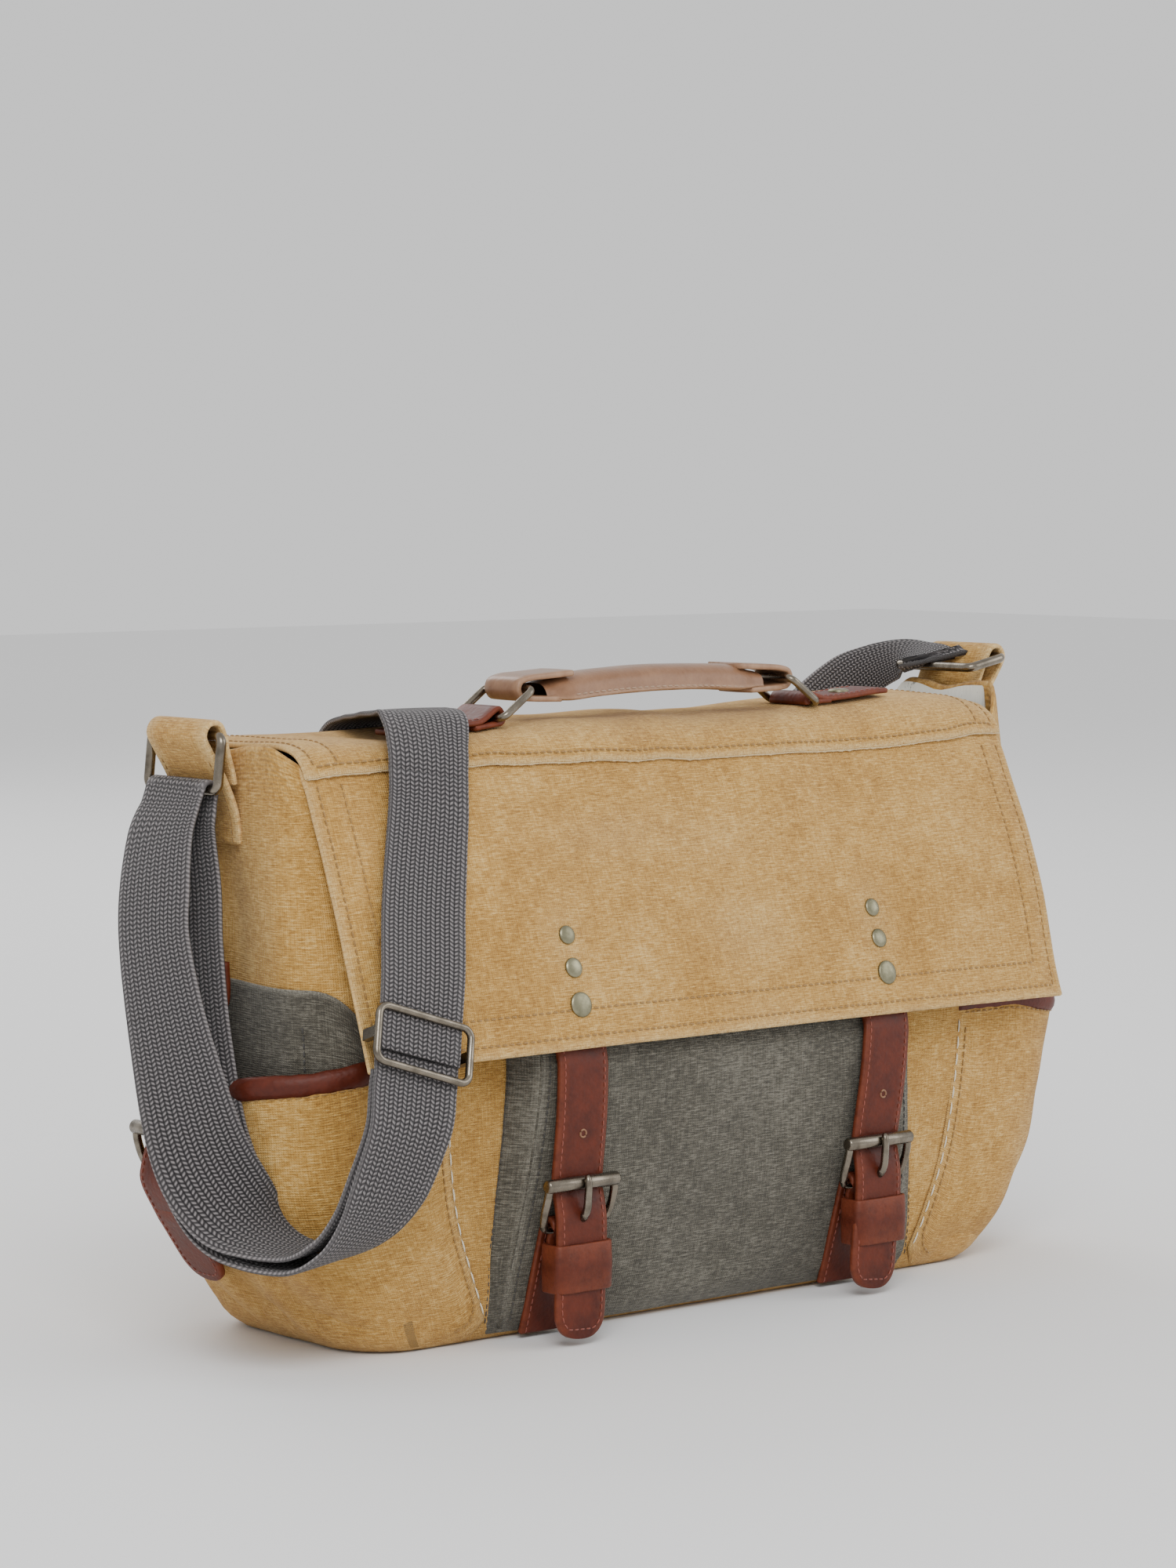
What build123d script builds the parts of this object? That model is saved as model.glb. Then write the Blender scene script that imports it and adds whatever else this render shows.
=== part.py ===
from build123d import *
import os
from math import cos, radians, sin

# Messenger satchel: canvas body on a rounded base, flap with two buckled leather straps,
# front and side pockets, carrying handle and a webbing shoulder strap.
# Millimetres, +Z up, origin at the centre of the base, front of the bag towards -Y.

# ---- driving dimensions -------------------------------------------------------------
CLOTH = 2.5                 # thickness of a body panel
LINING = 0.7                # thickness of the lining
BODY_RIM = 226.0            # top edge of the front and back panels
SEAM_X = 176.0              # seam between a front or back panel and its gusset
EAR_IN = 191.2              # inner face of the gusset ears beside the flap
EAR_LEFT = 237.0            # top of the left gusset
EAR_RIGHT = 249.0           # top of the right gusset
BASE_T = 3.0                # base panel thickness
BOARD_T = 2.0               # stiffening board thickness

# body sections: height, half width, front y, back y, corner radius
BODY = [
    (0, 165, -50, 46, 22),
    (14, 178, -56, 50, 26),
    (60, 191, -59, 52, 28),
    (116, 194.5, -60, 51, 26),
    (176, 194.5, -52, 48, 20),
    (226, 194, -37, 40, 12),
    (250, 196, -30, 34, 10),
]

FLAP_HALF = 189.5           # half width of the flap
FLAP_T = 3.0                # lined canvas flap thickness
FLAP_TOP = [(42, 232), (37, 237), (20, 239.5), (-24, 239.5), (-34, 236.5), (-40, 231), (-43, 224.3)]
FLAP_FRONT = [(-43.2, 223.4), (-60, 180), (-82, 116)]

STRAP_W = 25.0              # leather strap width
STRAP_T = 2.8               # leather strap thickness
STRAP_X = 83.0              # closing straps sit this far each side of the middle
RIVET_Z = [159.0, 146.5, 132.5]
RIVET_R = [3.75, 4.0, 5.0]

POCKET_HALF = 107.0         # front pocket half width
POCKET_T = 1.5
POCKET_FACE = [(-57.5, 4), (-62, 22), (-70, 60), (-74.3, 104), (-73.4, 116), (-66.8, 138)]

SIDE_POCKET_EDGE = 139.0    # side pockets wrap round to this far from the middle
# side pocket outer sections: height, half width, front y, back y, corner radius
SIDE_POCKET = [
    (3.2, 171, -53.5, 49, 24),
    (25, 188, -61, 53.5, 30),
    (50, 202, -62.5, 55.5, 32),
    (75, 210, -63.2, 56, 34),
    (108, 214, -63.5, 55, 34),
]
SIDE_LIP = 108.0

# closing strap outer side, from its riveted end inside the flap down to its tip
CLOSING_PATH = [(-60.7, 168), (-68.3, 146), (-78.6, 116), (-80.8, 104), (-80.6, 68), (-80.6, 62),
                (-84.0, 50), (-84.2, 42), (-84.0, 4)]
BASE_STRAP_PATH = [(-72.6, 58), (-64.9, 22), (-60.6, 3.4)]
BASE_STRAP_T = 2.5
CHAPE_BACK = -72.9          # back of the buckle chape, just clear of the base strap
CHAPE_T = 4.4
KEEPER_Z = (26.0, 36.0)
KEEPER_Y = (-86.3, -71.0)   # front and back of a keeper loop
KEEPER_HALF = 15.2
KEEPER_T = 1.6              # leather of a keeper loop
STUD_R = 4.6                # press snap in the buckle's leather
SOCKET_R = 4.8              # its other half in the base strap
SLOT_HALF = 2.6             # half width of a prong's slot
SIDE_KEEPER = (209.6, 50.0)   # x, z of the loop on a side strap
SIDE_KEEPER_AXIS = (0.54, 0, 0.84)
SNAP_Z = 41.3               # hidden press snap between chape and base strap

# roller buckle, about its prong bar: outward is -Y, up is +Z
BUCKLE_BAR_R = 1.6
BUCKLE_BAR = (-77.5, 46.0)  # y, z of a closing buckle's prong bar
ROLLER_AT = (-5.9, 18.0)    # roller centre from the prong bar, outward and up
ROLLER_R = 2.5
AXLE_R = 1.2
SIDE_BAR_IN = 15.0          # inner faces of the buckle's side bars
SIDE_BAR_T = 3.0
RUN = 0.25                  # running clearance of a pin in its eye

# side strap: centre line y, then its outer side as (x, z) on the right
SIDE_Y = 8.0
SIDE_PATH = [(198.6, 152), (198.6, 136), (217.9, 116), (218.0, 104), (220.1, 91), (220.1, 85),
             (223.5, 73), (223.5, 67), (211.4, 48), (198.2, 26)]
SIDE_BAR = (217.0, 69.0)    # x, z of the side buckle's prong bar
SIDE_CHAPE = [(215.2, 68), (209.5, 52), (202, 38)]
SIDE_CHAPE_T = 2.4

HANDLE_Y = -19.0
HANDLE_BASE = 86.0          # ring pivots in the leather chapes, each side of the middle
HANDLE_PIVOT_Z = 243.3
RING_LEN = 19.0             # between the two bar centres of a handle ring
RING_LEAN = 54.7            # degrees that the handle rings lean inwards
RING_W = 26.0               # inner width of a handle ring
WIRE = 3.2                  # handle ring wire
CHAPE_OUT = 129.0           # outer end of a handle chape
CHAPE_RIVET_X = 112.0
GRIP_W = 22.0
GRIP_H = 9.0
GRIP_RISE = 3.0             # arch of the grip

STRAP_RING_Y = 10.0
STRAP_RING_W = 42.0         # inner width of a shoulder strap ring
STRAP_RING_H = 21.0         # between its bar centres
STRAP_RING_WIRE = 4.0
LEFT_RING = (-208.0, 240.0)   # x, z of the left ring's bar in its tab
RIGHT_RING = (219.0, 258.0)   # x, z of the right ring's bar in its tab
LEFT_RING_DIR = (-0.105, -0.994)   # the left ring hangs
RIGHT_RING_DIR = (-0.98, -0.2)     # the right ring lies inwards, pulled by the strap
TAB_W = 39.0

WEB_W = 38.0                # shoulder strap webbing width
WEB_T = 2.2                 # one layer of webbing
LOOP_T = 5.0                # the two layers of the hanging loop
# Stations of the strap: centre, direction across, width.
ACROSS_X = (1, 0, 0)
LOOP_LEFT = [
    ((-213, 10, 211.8), (0, -1, 0), WEB_W),
    ((-219, 7.5, 196), (0.1, -1, 0), WEB_W),
    ((-223.5, 2, 172), (0.15, -1, 0), WEB_W),
    ((-227, -6, 144), (0.2, -0.98, 0), WEB_W),
    ((-229.5, -13, 120), (0.3, -0.95, 0), WEB_W),
    ((-231, -26, 89), (0.6, -0.8, 0), WEB_W),
    ((-227.5, -38, 67), (0.85, -0.5, 0), WEB_W),
    ((-219.5, -50, 52.8), (0.98, 0, 0), WEB_W),
    ((-211, -62.5, 46.6), (0.9, 0.4, 0), WEB_W),
]
LOOP_RIGHT = [
    ((-208.3, -66.2, 45.8), (0.9, 0.4, 0), WEB_W),
    ((-202, -76, 50.8), (0.95, 0.3, 0), WEB_W),
    ((-195, -86, 62), (1, 0.1, 0), WEB_W),
    ((-189.5, -93.5, 76), ACROSS_X, WEB_W),
    ((-182.5, -97.5, 95.5), ACROSS_X, WEB_W),
]
SLIDER_TOP = (-162, -79, 150)
SLIDER_END = (-180, -96, 101)
WEB_FRONT = [
    ((-137.5, -50.6, 213), ACROSS_X, WEB_W),
    ((-144.5, -56.5, 194), ACROSS_X, WEB_W),
    ((-152.5, -66.0, 172), ACROSS_X, WEB_W),
    (SLIDER_TOP, ACROSS_X, WEB_W),
    (SLIDER_END, ACROSS_X, WEB_W),
]
WEB_TOP = [
    ((-100, 40.5, 238.6), ACROSS_X, WEB_W),
    ((-103, 20, 241.6), ACROSS_X, WEB_W),
    ((-109, 6, 243.4), ACROSS_X, WEB_W),
    ((-117, -12, 245.0), ACROSS_X, WEB_W),
    ((-126, -33, 244.8), ACROSS_X, WEB_W),
    ((-131, -41.5, 240), ACROSS_X, WEB_W),
    ((-133.5, -46.4, 233), ACROSS_X, WEB_W),
    ((-135, -47.6, 227.2), ACROSS_X, WEB_W),
]
WEB_BACK = [
    ((-99, 49.8, 225.5), ACROSS_X, WEB_W),
    ((-97, 53, 212), (1, 0, 0.1), WEB_W),
    ((-80, 56, 186), (0.75, 0, 0.66), WEB_W),
    ((-40, 57, 165), (0.35, 0, 0.94), WEB_W),
    ((20, 57, 158), (0, 0, 1), WEB_W),
    ((80, 57, 170), (-0.35, 0, 0.94), WEB_W),
    ((130, 56, 196), (-0.5, 0, 0.86), WEB_W),
    ((172, 54.5, 226), (-0.4, 0, 0.92), WEB_W),
    ((196, 52.5, 241), (-0.2, 0, 0.98), 34),
    ((206, 45, 252), (0.75, 0.1, 0.65), 28),
    ((201, 38.5, 256.0), (0.95, 0, 0.3), 22),
]
SLIDER_IN = 39.6            # inner width of the strap slider
SLIDER_L = 22.0             # between its end bars
SLIDER_WIRE = 3.0
SLIDER_BAR_BACK = 4.0       # its middle bar lies this far behind the webbing


# ---- helpers -------------------------------------------------------------------------
def section(z, half, front, back, radius, grow=0.0):
    """One level of the bag: a rounded rectangle, grown outwards by grow."""
    rect = RectangleRounded(2 * (half + grow), back - front + 2 * grow, max(radius + grow, 2))
    return Pos(0, (front + back) / 2, z) * rect


def lofted(sections, grow=0.0, lift=0.0):
    faces = [section(z + lift, h, f, b, r, grow) for z, h, f, b, r in sections]
    return loft(faces, ruled=True)


def block(x0, x1, y0, y1, z0, z1):
    return Pos((x0 + x1) / 2, (y0 + y1) / 2, (z0 + z1) / 2) * Box(x1 - x0, y1 - y0, z1 - z0)


def yz_prism(points, x0, x1):
    """A closed outline of (y, z) points, extruded along X from x0 to x1."""
    face = make_face(Polyline([(0, y, z) for y, z in points], close=True))
    return Pos(x0, 0, 0) * extrude(face, amount=x1 - x0, dir=(1, 0, 0))


def xz_prism(points, y0, y1):
    """A closed outline of (x, z) points, extruded along Y from y0 to y1."""
    face = make_face(Polyline([(x, 0, z) for x, z in points], close=True))
    return Pos(0, y0, 0) * extrude(face, amount=y1 - y0, dir=(0, 1, 0))


def band(points, thickness):
    """The outline of a strip whose outer side is the line of points, inner side to its left."""
    inner = []
    for i, (a, b) in enumerate(points):
        p0 = points[max(i - 1, 0)]
        p1 = points[min(i + 1, len(points) - 1)]
        da, db = p1[0] - p0[0], p1[1] - p0[1]
        size = (da * da + db * db) ** 0.5
        inner.append((a - db / size * thickness, b + da / size * thickness))
    return list(points) + inner[::-1]


def y_at(points, z):
    """The y of a line of (y, z) points at height z."""
    for (y0, z0), (y1, z1) in zip(points, points[1:]):
        if min(z0, z1) <= z <= max(z0, z1):
            return y0 + (y1 - y0) * (z - z0) / (z1 - z0)
    return points[-1][0]


def x_rod(radius, x0, x1, y, z):
    return Pos(x0, y, z) * Rot(0, 90, 0) * extrude(Circle(radius), amount=x1 - x0)


def y_rod(radius, y0, y1, x, z):
    return Pos(x, y0, z) * Rot(-90, 0, 0) * extrude(Circle(radius), amount=y1 - y0)


def wire_frame(width, length, wire, radius=3.0):
    """A rectangular ring of round wire in the XY plane, bar centres length apart along Y.

    width is the clear width inside along X. The first bar lies on the X axis.
    """
    w, h = width + wire, length
    path = Pos(0, h / 2, 0) * RectangleRounded(w, h, radius).wire()
    start = path @ 0.05
    along = path % 0.05
    return sweep(Plane(origin=start, z_dir=along) * Circle(wire / 2), path=path)


def ribbon(stations, thickness):
    """A strip through (centre, width direction, width) stations, each edge straight between two."""
    centres = [Vector(*c) for c, d, w in stations]
    rings = []
    for i, (c, d, w) in enumerate(stations):
        along = centres[min(i + 1, len(centres) - 1)] - centres[max(i - 1, 0)]
        across = Vector(*d)
        across = (across - along * (across.dot(along) / along.dot(along))).normalized()
        out = along.cross(across).normalized() * (thickness / 2)
        side = across * (w / 2)
        corners = [side + out, side - out, side * -1 - out, side * -1 + out]
        rings.append(Polyline([tuple(centres[i] + k) for k in corners], close=True).wire())
    return Solid.make_loft(rings, True)


def mirror_x(shape):
    return mirror(shape, about=Plane.YZ)


# ---- bag body ------------------------------------------------------------------------
def body_panels():
    shell = lofted(BODY) - lofted(BODY, -CLOTH)
    above_base = block(-400, 400, -200, 200, BASE_T, BODY_RIM)
    walls = shell & above_base
    front = walls & block(-SEAM_X, SEAM_X, -200, 0, 0, BODY_RIM)
    back = walls & block(-SEAM_X, SEAM_X, 0, 200, 0, BODY_RIM)
    gusset_left = walls & block(-400, -SEAM_X, -200, 200, 0, BODY_RIM)
    gusset_left += shell & block(-400, -EAR_IN, -200, 200, BODY_RIM, EAR_LEFT)
    gusset_right = walls & block(SEAM_X, 400, -200, 200, 0, BODY_RIM)
    gusset_right += shell & block(EAR_IN, 400, -200, 200, BODY_RIM, EAR_RIGHT)
    base = lofted(BODY) & block(-400, 400, -200, 200, 0, BASE_T)
    return front, back, gusset_left, gusset_right, base


def base_board():
    inner = lofted(BODY, -CLOTH - LINING - 1.0)
    return inner & block(-400, 400, -200, 200, BASE_T, BASE_T + BOARD_T)


def lining():
    skin = lofted(BODY, -CLOTH) - lofted(BODY, -CLOTH - LINING)
    walls = skin & block(-400, 400, -200, 200, BASE_T, BODY_RIM - 1)
    floor_z = BASE_T + BOARD_T
    floor = lofted(BODY, -CLOTH - LINING / 2) & block(-400, 400, -200, 200, floor_z, floor_z + LINING)
    return walls + floor


# ---- pockets -------------------------------------------------------------------------
def front_pocket():
    outer = band(POCKET_FACE, -POCKET_T)
    face = yz_prism(outer, -POCKET_HALF, POCKET_HALF)
    box = yz_prism([(-30, 4)] + POCKET_FACE + [(-30, POCKET_FACE[-1][1])], -POCKET_HALF, POCKET_HALF)
    inner = [(y + POCKET_T, z) for y, z in POCKET_FACE]
    hollow = yz_prism([(-30, 6)] + inner + [(-30, POCKET_FACE[-1][1] + 1)], -POCKET_HALF + POCKET_T, POCKET_HALF - POCKET_T)
    gusset = box - hollow - face - lofted(BODY)
    return face, gusset


def side_pocket():
    """Right side pocket, wrapping round both corners, open at its lip."""
    outer = lofted(SIDE_POCKET)
    inner = lofted(SIDE_POCKET, -1.8)
    floor = lofted(SIDE_POCKET) & block(-400, 400, -200, 200, 3.2, 6)
    shell = outer - inner + floor
    reach = block(SIDE_POCKET_EDGE, 400, -200, 200, 0, SIDE_LIP)
    closing = block(SIDE_POCKET_EDGE, SIDE_POCKET_EDGE + 2, -200, 200, 3.2, SIDE_LIP) & outer
    return ((shell + closing) & reach) - lofted(BODY)


def side_binding():
    """Leather roll along the lip of the right side pocket, as a strip over its edge."""
    level = [(108.2, 214.4, -63.9, 55.4, 34.4), (113, 214.4, -63.9, 55.4, 34.4)]
    ring = lofted(level) - lofted(level, -3.0)
    return (ring & block(SIDE_POCKET_EDGE, 400, -200, 200, 0, 200)) - lofted(BODY)


def side_facing():
    """Plain cloth panel on the gusset behind the pocket's mouth."""
    skin = lofted(BODY, 0.8) - lofted(BODY)
    return skin & block(SEAM_X + 6, 400, -36, 36, 116, 144)


# ---- roller buckles ------------------------------------------------------------------
def buckle_frame():
    """Buckle frame about its prong bar: two side bars, the prong bar and the roller's axle."""
    y, z = ROLLER_AT
    size = (y * y + z * z) ** 0.5
    ny, nz = -z / size * SIDE_BAR_T / 2, y / size * SIDE_BAR_T / 2
    outline = [(ny, nz), (y + ny, z + nz), (y - ny, z - nz), (-ny, -nz)]
    frame = x_rod(BUCKLE_BAR_R, -SIDE_BAR_IN - 1, SIDE_BAR_IN + 1, 0, 0)
    frame += x_rod(AXLE_R, -SIDE_BAR_IN - 1, SIDE_BAR_IN + 1, y, z)
    for start in (-SIDE_BAR_IN - SIDE_BAR_T, SIDE_BAR_IN):
        frame += yz_prism(outline, start, start + SIDE_BAR_T)
        frame += x_rod(SIDE_BAR_T / 2 + 0.3, start, start + SIDE_BAR_T, 0, 0)
        frame += x_rod(SIDE_BAR_T / 2 + 0.3, start, start + SIDE_BAR_T, y, z)
    return frame


def buckle_roller():
    y, z = ROLLER_AT
    half = SIDE_BAR_IN - 0.5
    return x_rod(ROLLER_R, -half, half, y, z) - x_rod(AXLE_R + RUN, -half, half, y, z)


def buckle_prong():
    """Eye round the prong bar, then a tongue through the strap and up over the roller."""
    reach = ROLLER_AT[0] - ROLLER_R - 2.5
    tongue = band([(-2.0, 1.6), (reach, 4.4), (reach, 14), (reach, ROLLER_AT[1] + 4)], 2.2)
    prong = yz_prism(tongue, -1.7, 1.7) + x_rod(3.2, -2, 2, 0, 0)
    return prong - x_rod(BUCKLE_BAR_R + RUN, -3, 3, 0, 0)


def chape_eye():
    """Leather turned round the prong bar, slit in the middle for the prong."""
    eye = x_rod(3.3, -STRAP_W / 2, STRAP_W / 2, 0, 0) - x_rod(BUCKLE_BAR_R, -20, 20, 0, 0)
    return eye - block(-2.6, 2.6, -10, 10, -10, 10)


# ---- closing straps ------------------------------------------------------------------
def rivet_plane(x, z):
    """On the flap front's outer face, its normal pointing out of the bag."""
    (y0, z0), (y1, z1) = FLAP_FRONT[1:]
    return Plane(origin=(x, y_at(FLAP_FRONT, z), z), z_dir=(0, z1 - z0, y0 - y1))


def flap_rivets(posts_only=False):
    stack = FLAP_T + STRAP_T + 0.4
    rivets = None
    for x in (-STRAP_X - 1, STRAP_X + 1):
        for z, radius in zip(RIVET_Z, RIVET_R):
            place = rivet_plane(x, z)
            rivet = place * Pos(0, 0, -stack - 0.1) * extrude(Circle(1.5), amount=stack + 0.6)
            if not posts_only:
                rivet += place * Pos(0, 0, 0.02) * extrude(Circle(radius), amount=1.0)
                rivet += place * Pos(0, 0, -stack - 0.6) * extrude(Circle(3.4), amount=0.6)
            rivets = rivet if rivets is None else rivets + rivet
    return rivets


def closing_strap(side, posts):
    x = side * STRAP_X
    strap = yz_prism(band(CLOSING_PATH, STRAP_T), x - STRAP_W / 2, x + STRAP_W / 2)
    y, z = BUCKLE_BAR
    strap -= block(x - SLOT_HALF, x + SLOT_HALF, y - 12, y + 2, z - 4.5, z + 6.5)
    tip = Pos(x, 0, CLOSING_PATH[-1][1] + STRAP_W / 2) * Rot(90, 0, 0)
    corner = block(x - 20, x + 20, -100, -60, 0, CLOSING_PATH[-1][1] + STRAP_W / 2)
    strap -= corner - tip * extrude(Circle(STRAP_W / 2), amount=100)
    return strap - posts


def base_strap(side):
    x = side * STRAP_X
    return yz_prism(band(BASE_STRAP_PATH, BASE_STRAP_T), x - STRAP_W / 2, x + STRAP_W / 2)


def buckle_chape(side):
    x = side * STRAP_X
    y, z = BUCKLE_BAR
    plate = block(x - STRAP_W / 2, x + STRAP_W / 2, CHAPE_BACK - CHAPE_T, CHAPE_BACK, 20, z - 2.4)
    plate -= block(x - SLOT_HALF, x + SLOT_HALF, -90, -60, z - 5, z)
    return plate + Pos(x, y, z) * chape_eye() - Pos(x, y, z) * x_rod(BUCKLE_BAR_R, -20, 20, 0, 0)


def buckle_keeper(side):
    x = side * STRAP_X
    inner = KEEPER_HALF - KEEPER_T - 0.3
    outer = block(x - KEEPER_HALF, x + KEEPER_HALF, *KEEPER_Y, *KEEPER_Z)
    return outer - block(x - inner, x + inner, KEEPER_Y[0] + KEEPER_T, CHAPE_BACK + 0.1, *KEEPER_Z)


def snap_studs():
    studs = [Pos(s * STRAP_X, CHAPE_BACK, SNAP_Z) * Rot(-90, 0, 0) * extrude(Circle(STUD_R), amount=1.3)
             for s in (-1, 1)]
    return studs[0] + studs[1]


def snap_sockets():
    face = y_at(BASE_STRAP_PATH, SNAP_Z)
    discs = [Pos(s * STRAP_X, face - 2.2, SNAP_Z) * Rot(-90, 0, 0) * extrude(Circle(SOCKET_R), amount=5)
             for s in (-1, 1)]
    return (discs[0] + discs[1]) - base_strap(-1) - base_strap(1) - behind_base_straps()


def behind_base_straps():
    points = [(y, z) for y, z in BASE_STRAP_PATH] + [(-30, 3.4), (-30, 58)]
    return yz_prism(points, -150, 150)


# ---- side straps ---------------------------------------------------------------------
def side_place():
    return Pos(SIDE_BAR[0], SIDE_Y, SIDE_BAR[1]) * Rot(0, 0, 90)


def side_strap():
    strap = xz_prism(band(SIDE_PATH, -STRAP_T), SIDE_Y - STRAP_W / 2, SIDE_Y + STRAP_W / 2)
    x, z = SIDE_BAR
    return strap - block(x - 3, x + 12, SIDE_Y - SLOT_HALF, SIDE_Y + SLOT_HALF, z - 4.5, z + 6.5)


def side_chape():
    """Leather sewn to the side pocket that holds the buckle, with its keeper loop."""
    plate = xz_prism(band(SIDE_CHAPE, -SIDE_CHAPE_T), SIDE_Y - STRAP_W / 2, SIDE_Y + STRAP_W / 2)
    x, z = SIDE_BAR
    plate -= block(x - 8, x + 8, SIDE_Y - SLOT_HALF, SIDE_Y + SLOT_HALF, z - 5, z + 5)
    plate += side_place() * chape_eye()
    plate -= side_place() * x_rod(BUCKLE_BAR_R, -20, 20, 0, 0)
    x, z = SIDE_KEEPER
    middle = Plane(origin=(x, SIDE_Y, z), x_dir=(0, 1, 0), z_dir=SIDE_KEEPER_AXIS)
    return plate + middle * (Box(30.4, 9.8, 9) - Box(26.6, 6.3, 10))


# ---- flap ----------------------------------------------------------------------------
def flap_top():
    return yz_prism(band(FLAP_TOP, FLAP_T), -FLAP_HALF, FLAP_HALF)


def flap_front(posts):
    return yz_prism(band(FLAP_FRONT, FLAP_T), -FLAP_HALF, FLAP_HALF) - posts


# ---- carrying handle -----------------------------------------------------------------
def ring_plane(x, y, z, direction):
    """Ring plane with its first bar along Y through (x, y, z), lying along (dx, dz)."""
    dx, dz = direction
    return Plane(origin=(x, y, z), x_dir=(0, 1, 0), z_dir=(dz, 0, -dx))


def handle_ring(side):
    lean = radians(RING_LEAN)
    place = ring_plane(side * HANDLE_BASE, HANDLE_Y, HANDLE_PIVOT_Z, (-side * sin(lean), cos(lean)))
    return place * wire_frame(RING_W, RING_LEN, WIRE)


def handle_pivot():
    lean = radians(RING_LEAN)
    return HANDLE_BASE - RING_LEN * sin(lean), HANDLE_PIVOT_Z + RING_LEN * cos(lean)


def handle_chapes():
    top = FLAP_TOP[2][1]
    half = RING_W / 2 - 1.5
    chape = block(HANDLE_BASE, CHAPE_OUT, HANDLE_Y - half, HANDLE_Y + half, top + 0.05, top + 2.4)
    chape += y_rod(3.7, HANDLE_Y - half, HANDLE_Y + half, HANDLE_BASE, HANDLE_PIVOT_Z)
    chape -= y_rod(WIRE / 2 + RUN, -100, 100, HANDLE_BASE, HANDLE_PIVOT_Z)
    chape -= block(0, 200, -100, 100, 200, top + 0.05)
    chape -= Pos(CHAPE_RIVET_X, HANDLE_Y, 200) * extrude(Circle(1.5), amount=60)
    return chape + mirror_x(chape)


def handle_rivets():
    top = FLAP_TOP[2][1] + 2.4
    cap = Pos(CHAPE_RIVET_X, HANDLE_Y, top) * extrude(Circle(4.5), amount=1.2)
    cap += Pos(CHAPE_RIVET_X, HANDLE_Y, top - 2.3) * extrude(Circle(1.5), amount=3)
    return cap + mirror_x(cap)


def handle_grip():
    """Arched leather grip with a folded loop at each end for the rings."""
    px, pz = handle_pivot()
    reach = px - 7
    middle = Pos(0, HANDLE_Y, pz + 1 + GRIP_RISE) * Rot(0, 90, 0) * RectangleRounded(GRIP_H, GRIP_W, 3)
    grip = None
    for side in (-1, 1):
        end = Pos(side * reach, HANDLE_Y, pz + 1) * Rot(0, 90, 0) * RectangleRounded(GRIP_H - 2, GRIP_W, 3)
        half = loft([middle, end] if side > 0 else [end, middle], ruled=True)
        grip = half if grip is None else grip + half
        web = block(min(side * reach, side * px), max(side * reach, side * px),
                    HANDLE_Y - GRIP_W / 2, HANDLE_Y + GRIP_W / 2, pz - 1.5, pz + 3.2)
        grip += web + y_rod(4.4, HANDLE_Y - GRIP_W / 2, HANDLE_Y + GRIP_W / 2, side * px, pz)
    grip -= y_rod(WIRE / 2 + RUN, -100, 100, -px, pz)
    return grip - y_rod(WIRE / 2 + 0.75, -100, 100, px, pz)


# ---- shoulder strap ------------------------------------------------------------------
def strap_tabs():
    half = TAB_W / 2
    y0, y1 = STRAP_RING_Y - half, STRAP_RING_Y + half
    hole = STRAP_RING_WIRE / 2 + RUN
    left = xz_prism([(-195.4, 203), (-197.8, 203), (-211.5, 238), (-204.5, 241), (-195.4, 214)], y0, y1)
    left += y_rod(4.7, y0, y1, *LEFT_RING)
    left -= y_rod(hole, -100, 100, *LEFT_RING)
    right = xz_prism([(196.6, 213), (199, 213), (222, 255), (215.5, 260), (196.6, 236)], y0, y1)
    right += y_rod(4.7, y0, y1, *RIGHT_RING)
    right -= y_rod(hole, -100, 100, *RIGHT_RING)
    return left + right


def strap_ring(corner, direction):
    place = ring_plane(corner[0], STRAP_RING_Y, corner[1], direction)
    return place * wire_frame(STRAP_RING_W, STRAP_RING_H, STRAP_RING_WIRE, 3.2)


def web_turn(corner, direction):
    """Webbing turned round the free bar of a strap ring."""
    x = corner[0] + direction[0] * STRAP_RING_H
    z = corner[1] + direction[1] * STRAP_RING_H
    y0, y1 = STRAP_RING_Y - WEB_W / 2, STRAP_RING_Y + WEB_W / 2
    inner = STRAP_RING_WIRE / 2 + 0.3
    return y_rod(inner + WEB_T, y0, y1, x, z) - y_rod(inner, -100, 100, x, z)


def slider_plane():
    """Middle of the slider, x across the webbing, z outwards."""
    top, end = Vector(*SLIDER_TOP), Vector(*SLIDER_END)
    along = (end - top).normalized()
    across = (Vector(1, 0, 0) - along * along.X).normalized()
    return Plane(origin=(top + end) * 0.5, x_dir=across, z_dir=along.cross(across))


def strap_slider():
    """Wire rectangle in front of the webbing, with a middle bar behind it."""
    out = WEB_T / 2 + 0.35 + SLIDER_WIRE / 2
    frame = Pos(0, -SLIDER_L / 2, out) * wire_frame(SLIDER_IN, SLIDER_L, SLIDER_WIRE, 4.0)
    edge = SLIDER_IN / 2 + SLIDER_WIRE / 2
    for side in (-1, 1):
        low, high = -SLIDER_BAR_BACK - 1.3, out
        frame += Pos(side * edge, 0, (low + high) / 2) * Box(2.6, 4.4, high - low)
    bar = Pos(-edge, 0, -SLIDER_BAR_BACK) * Rot(0, 90, 0) * extrude(Circle(1.3), amount=2 * edge)
    return slider_plane() * (frame + bar)


# ---- all parts -----------------------------------------------------------------------
def right_and_left(parts, name, shape):
    parts[name + "_right"] = shape
    parts[name + "_left"] = mirror_x(shape)


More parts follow.
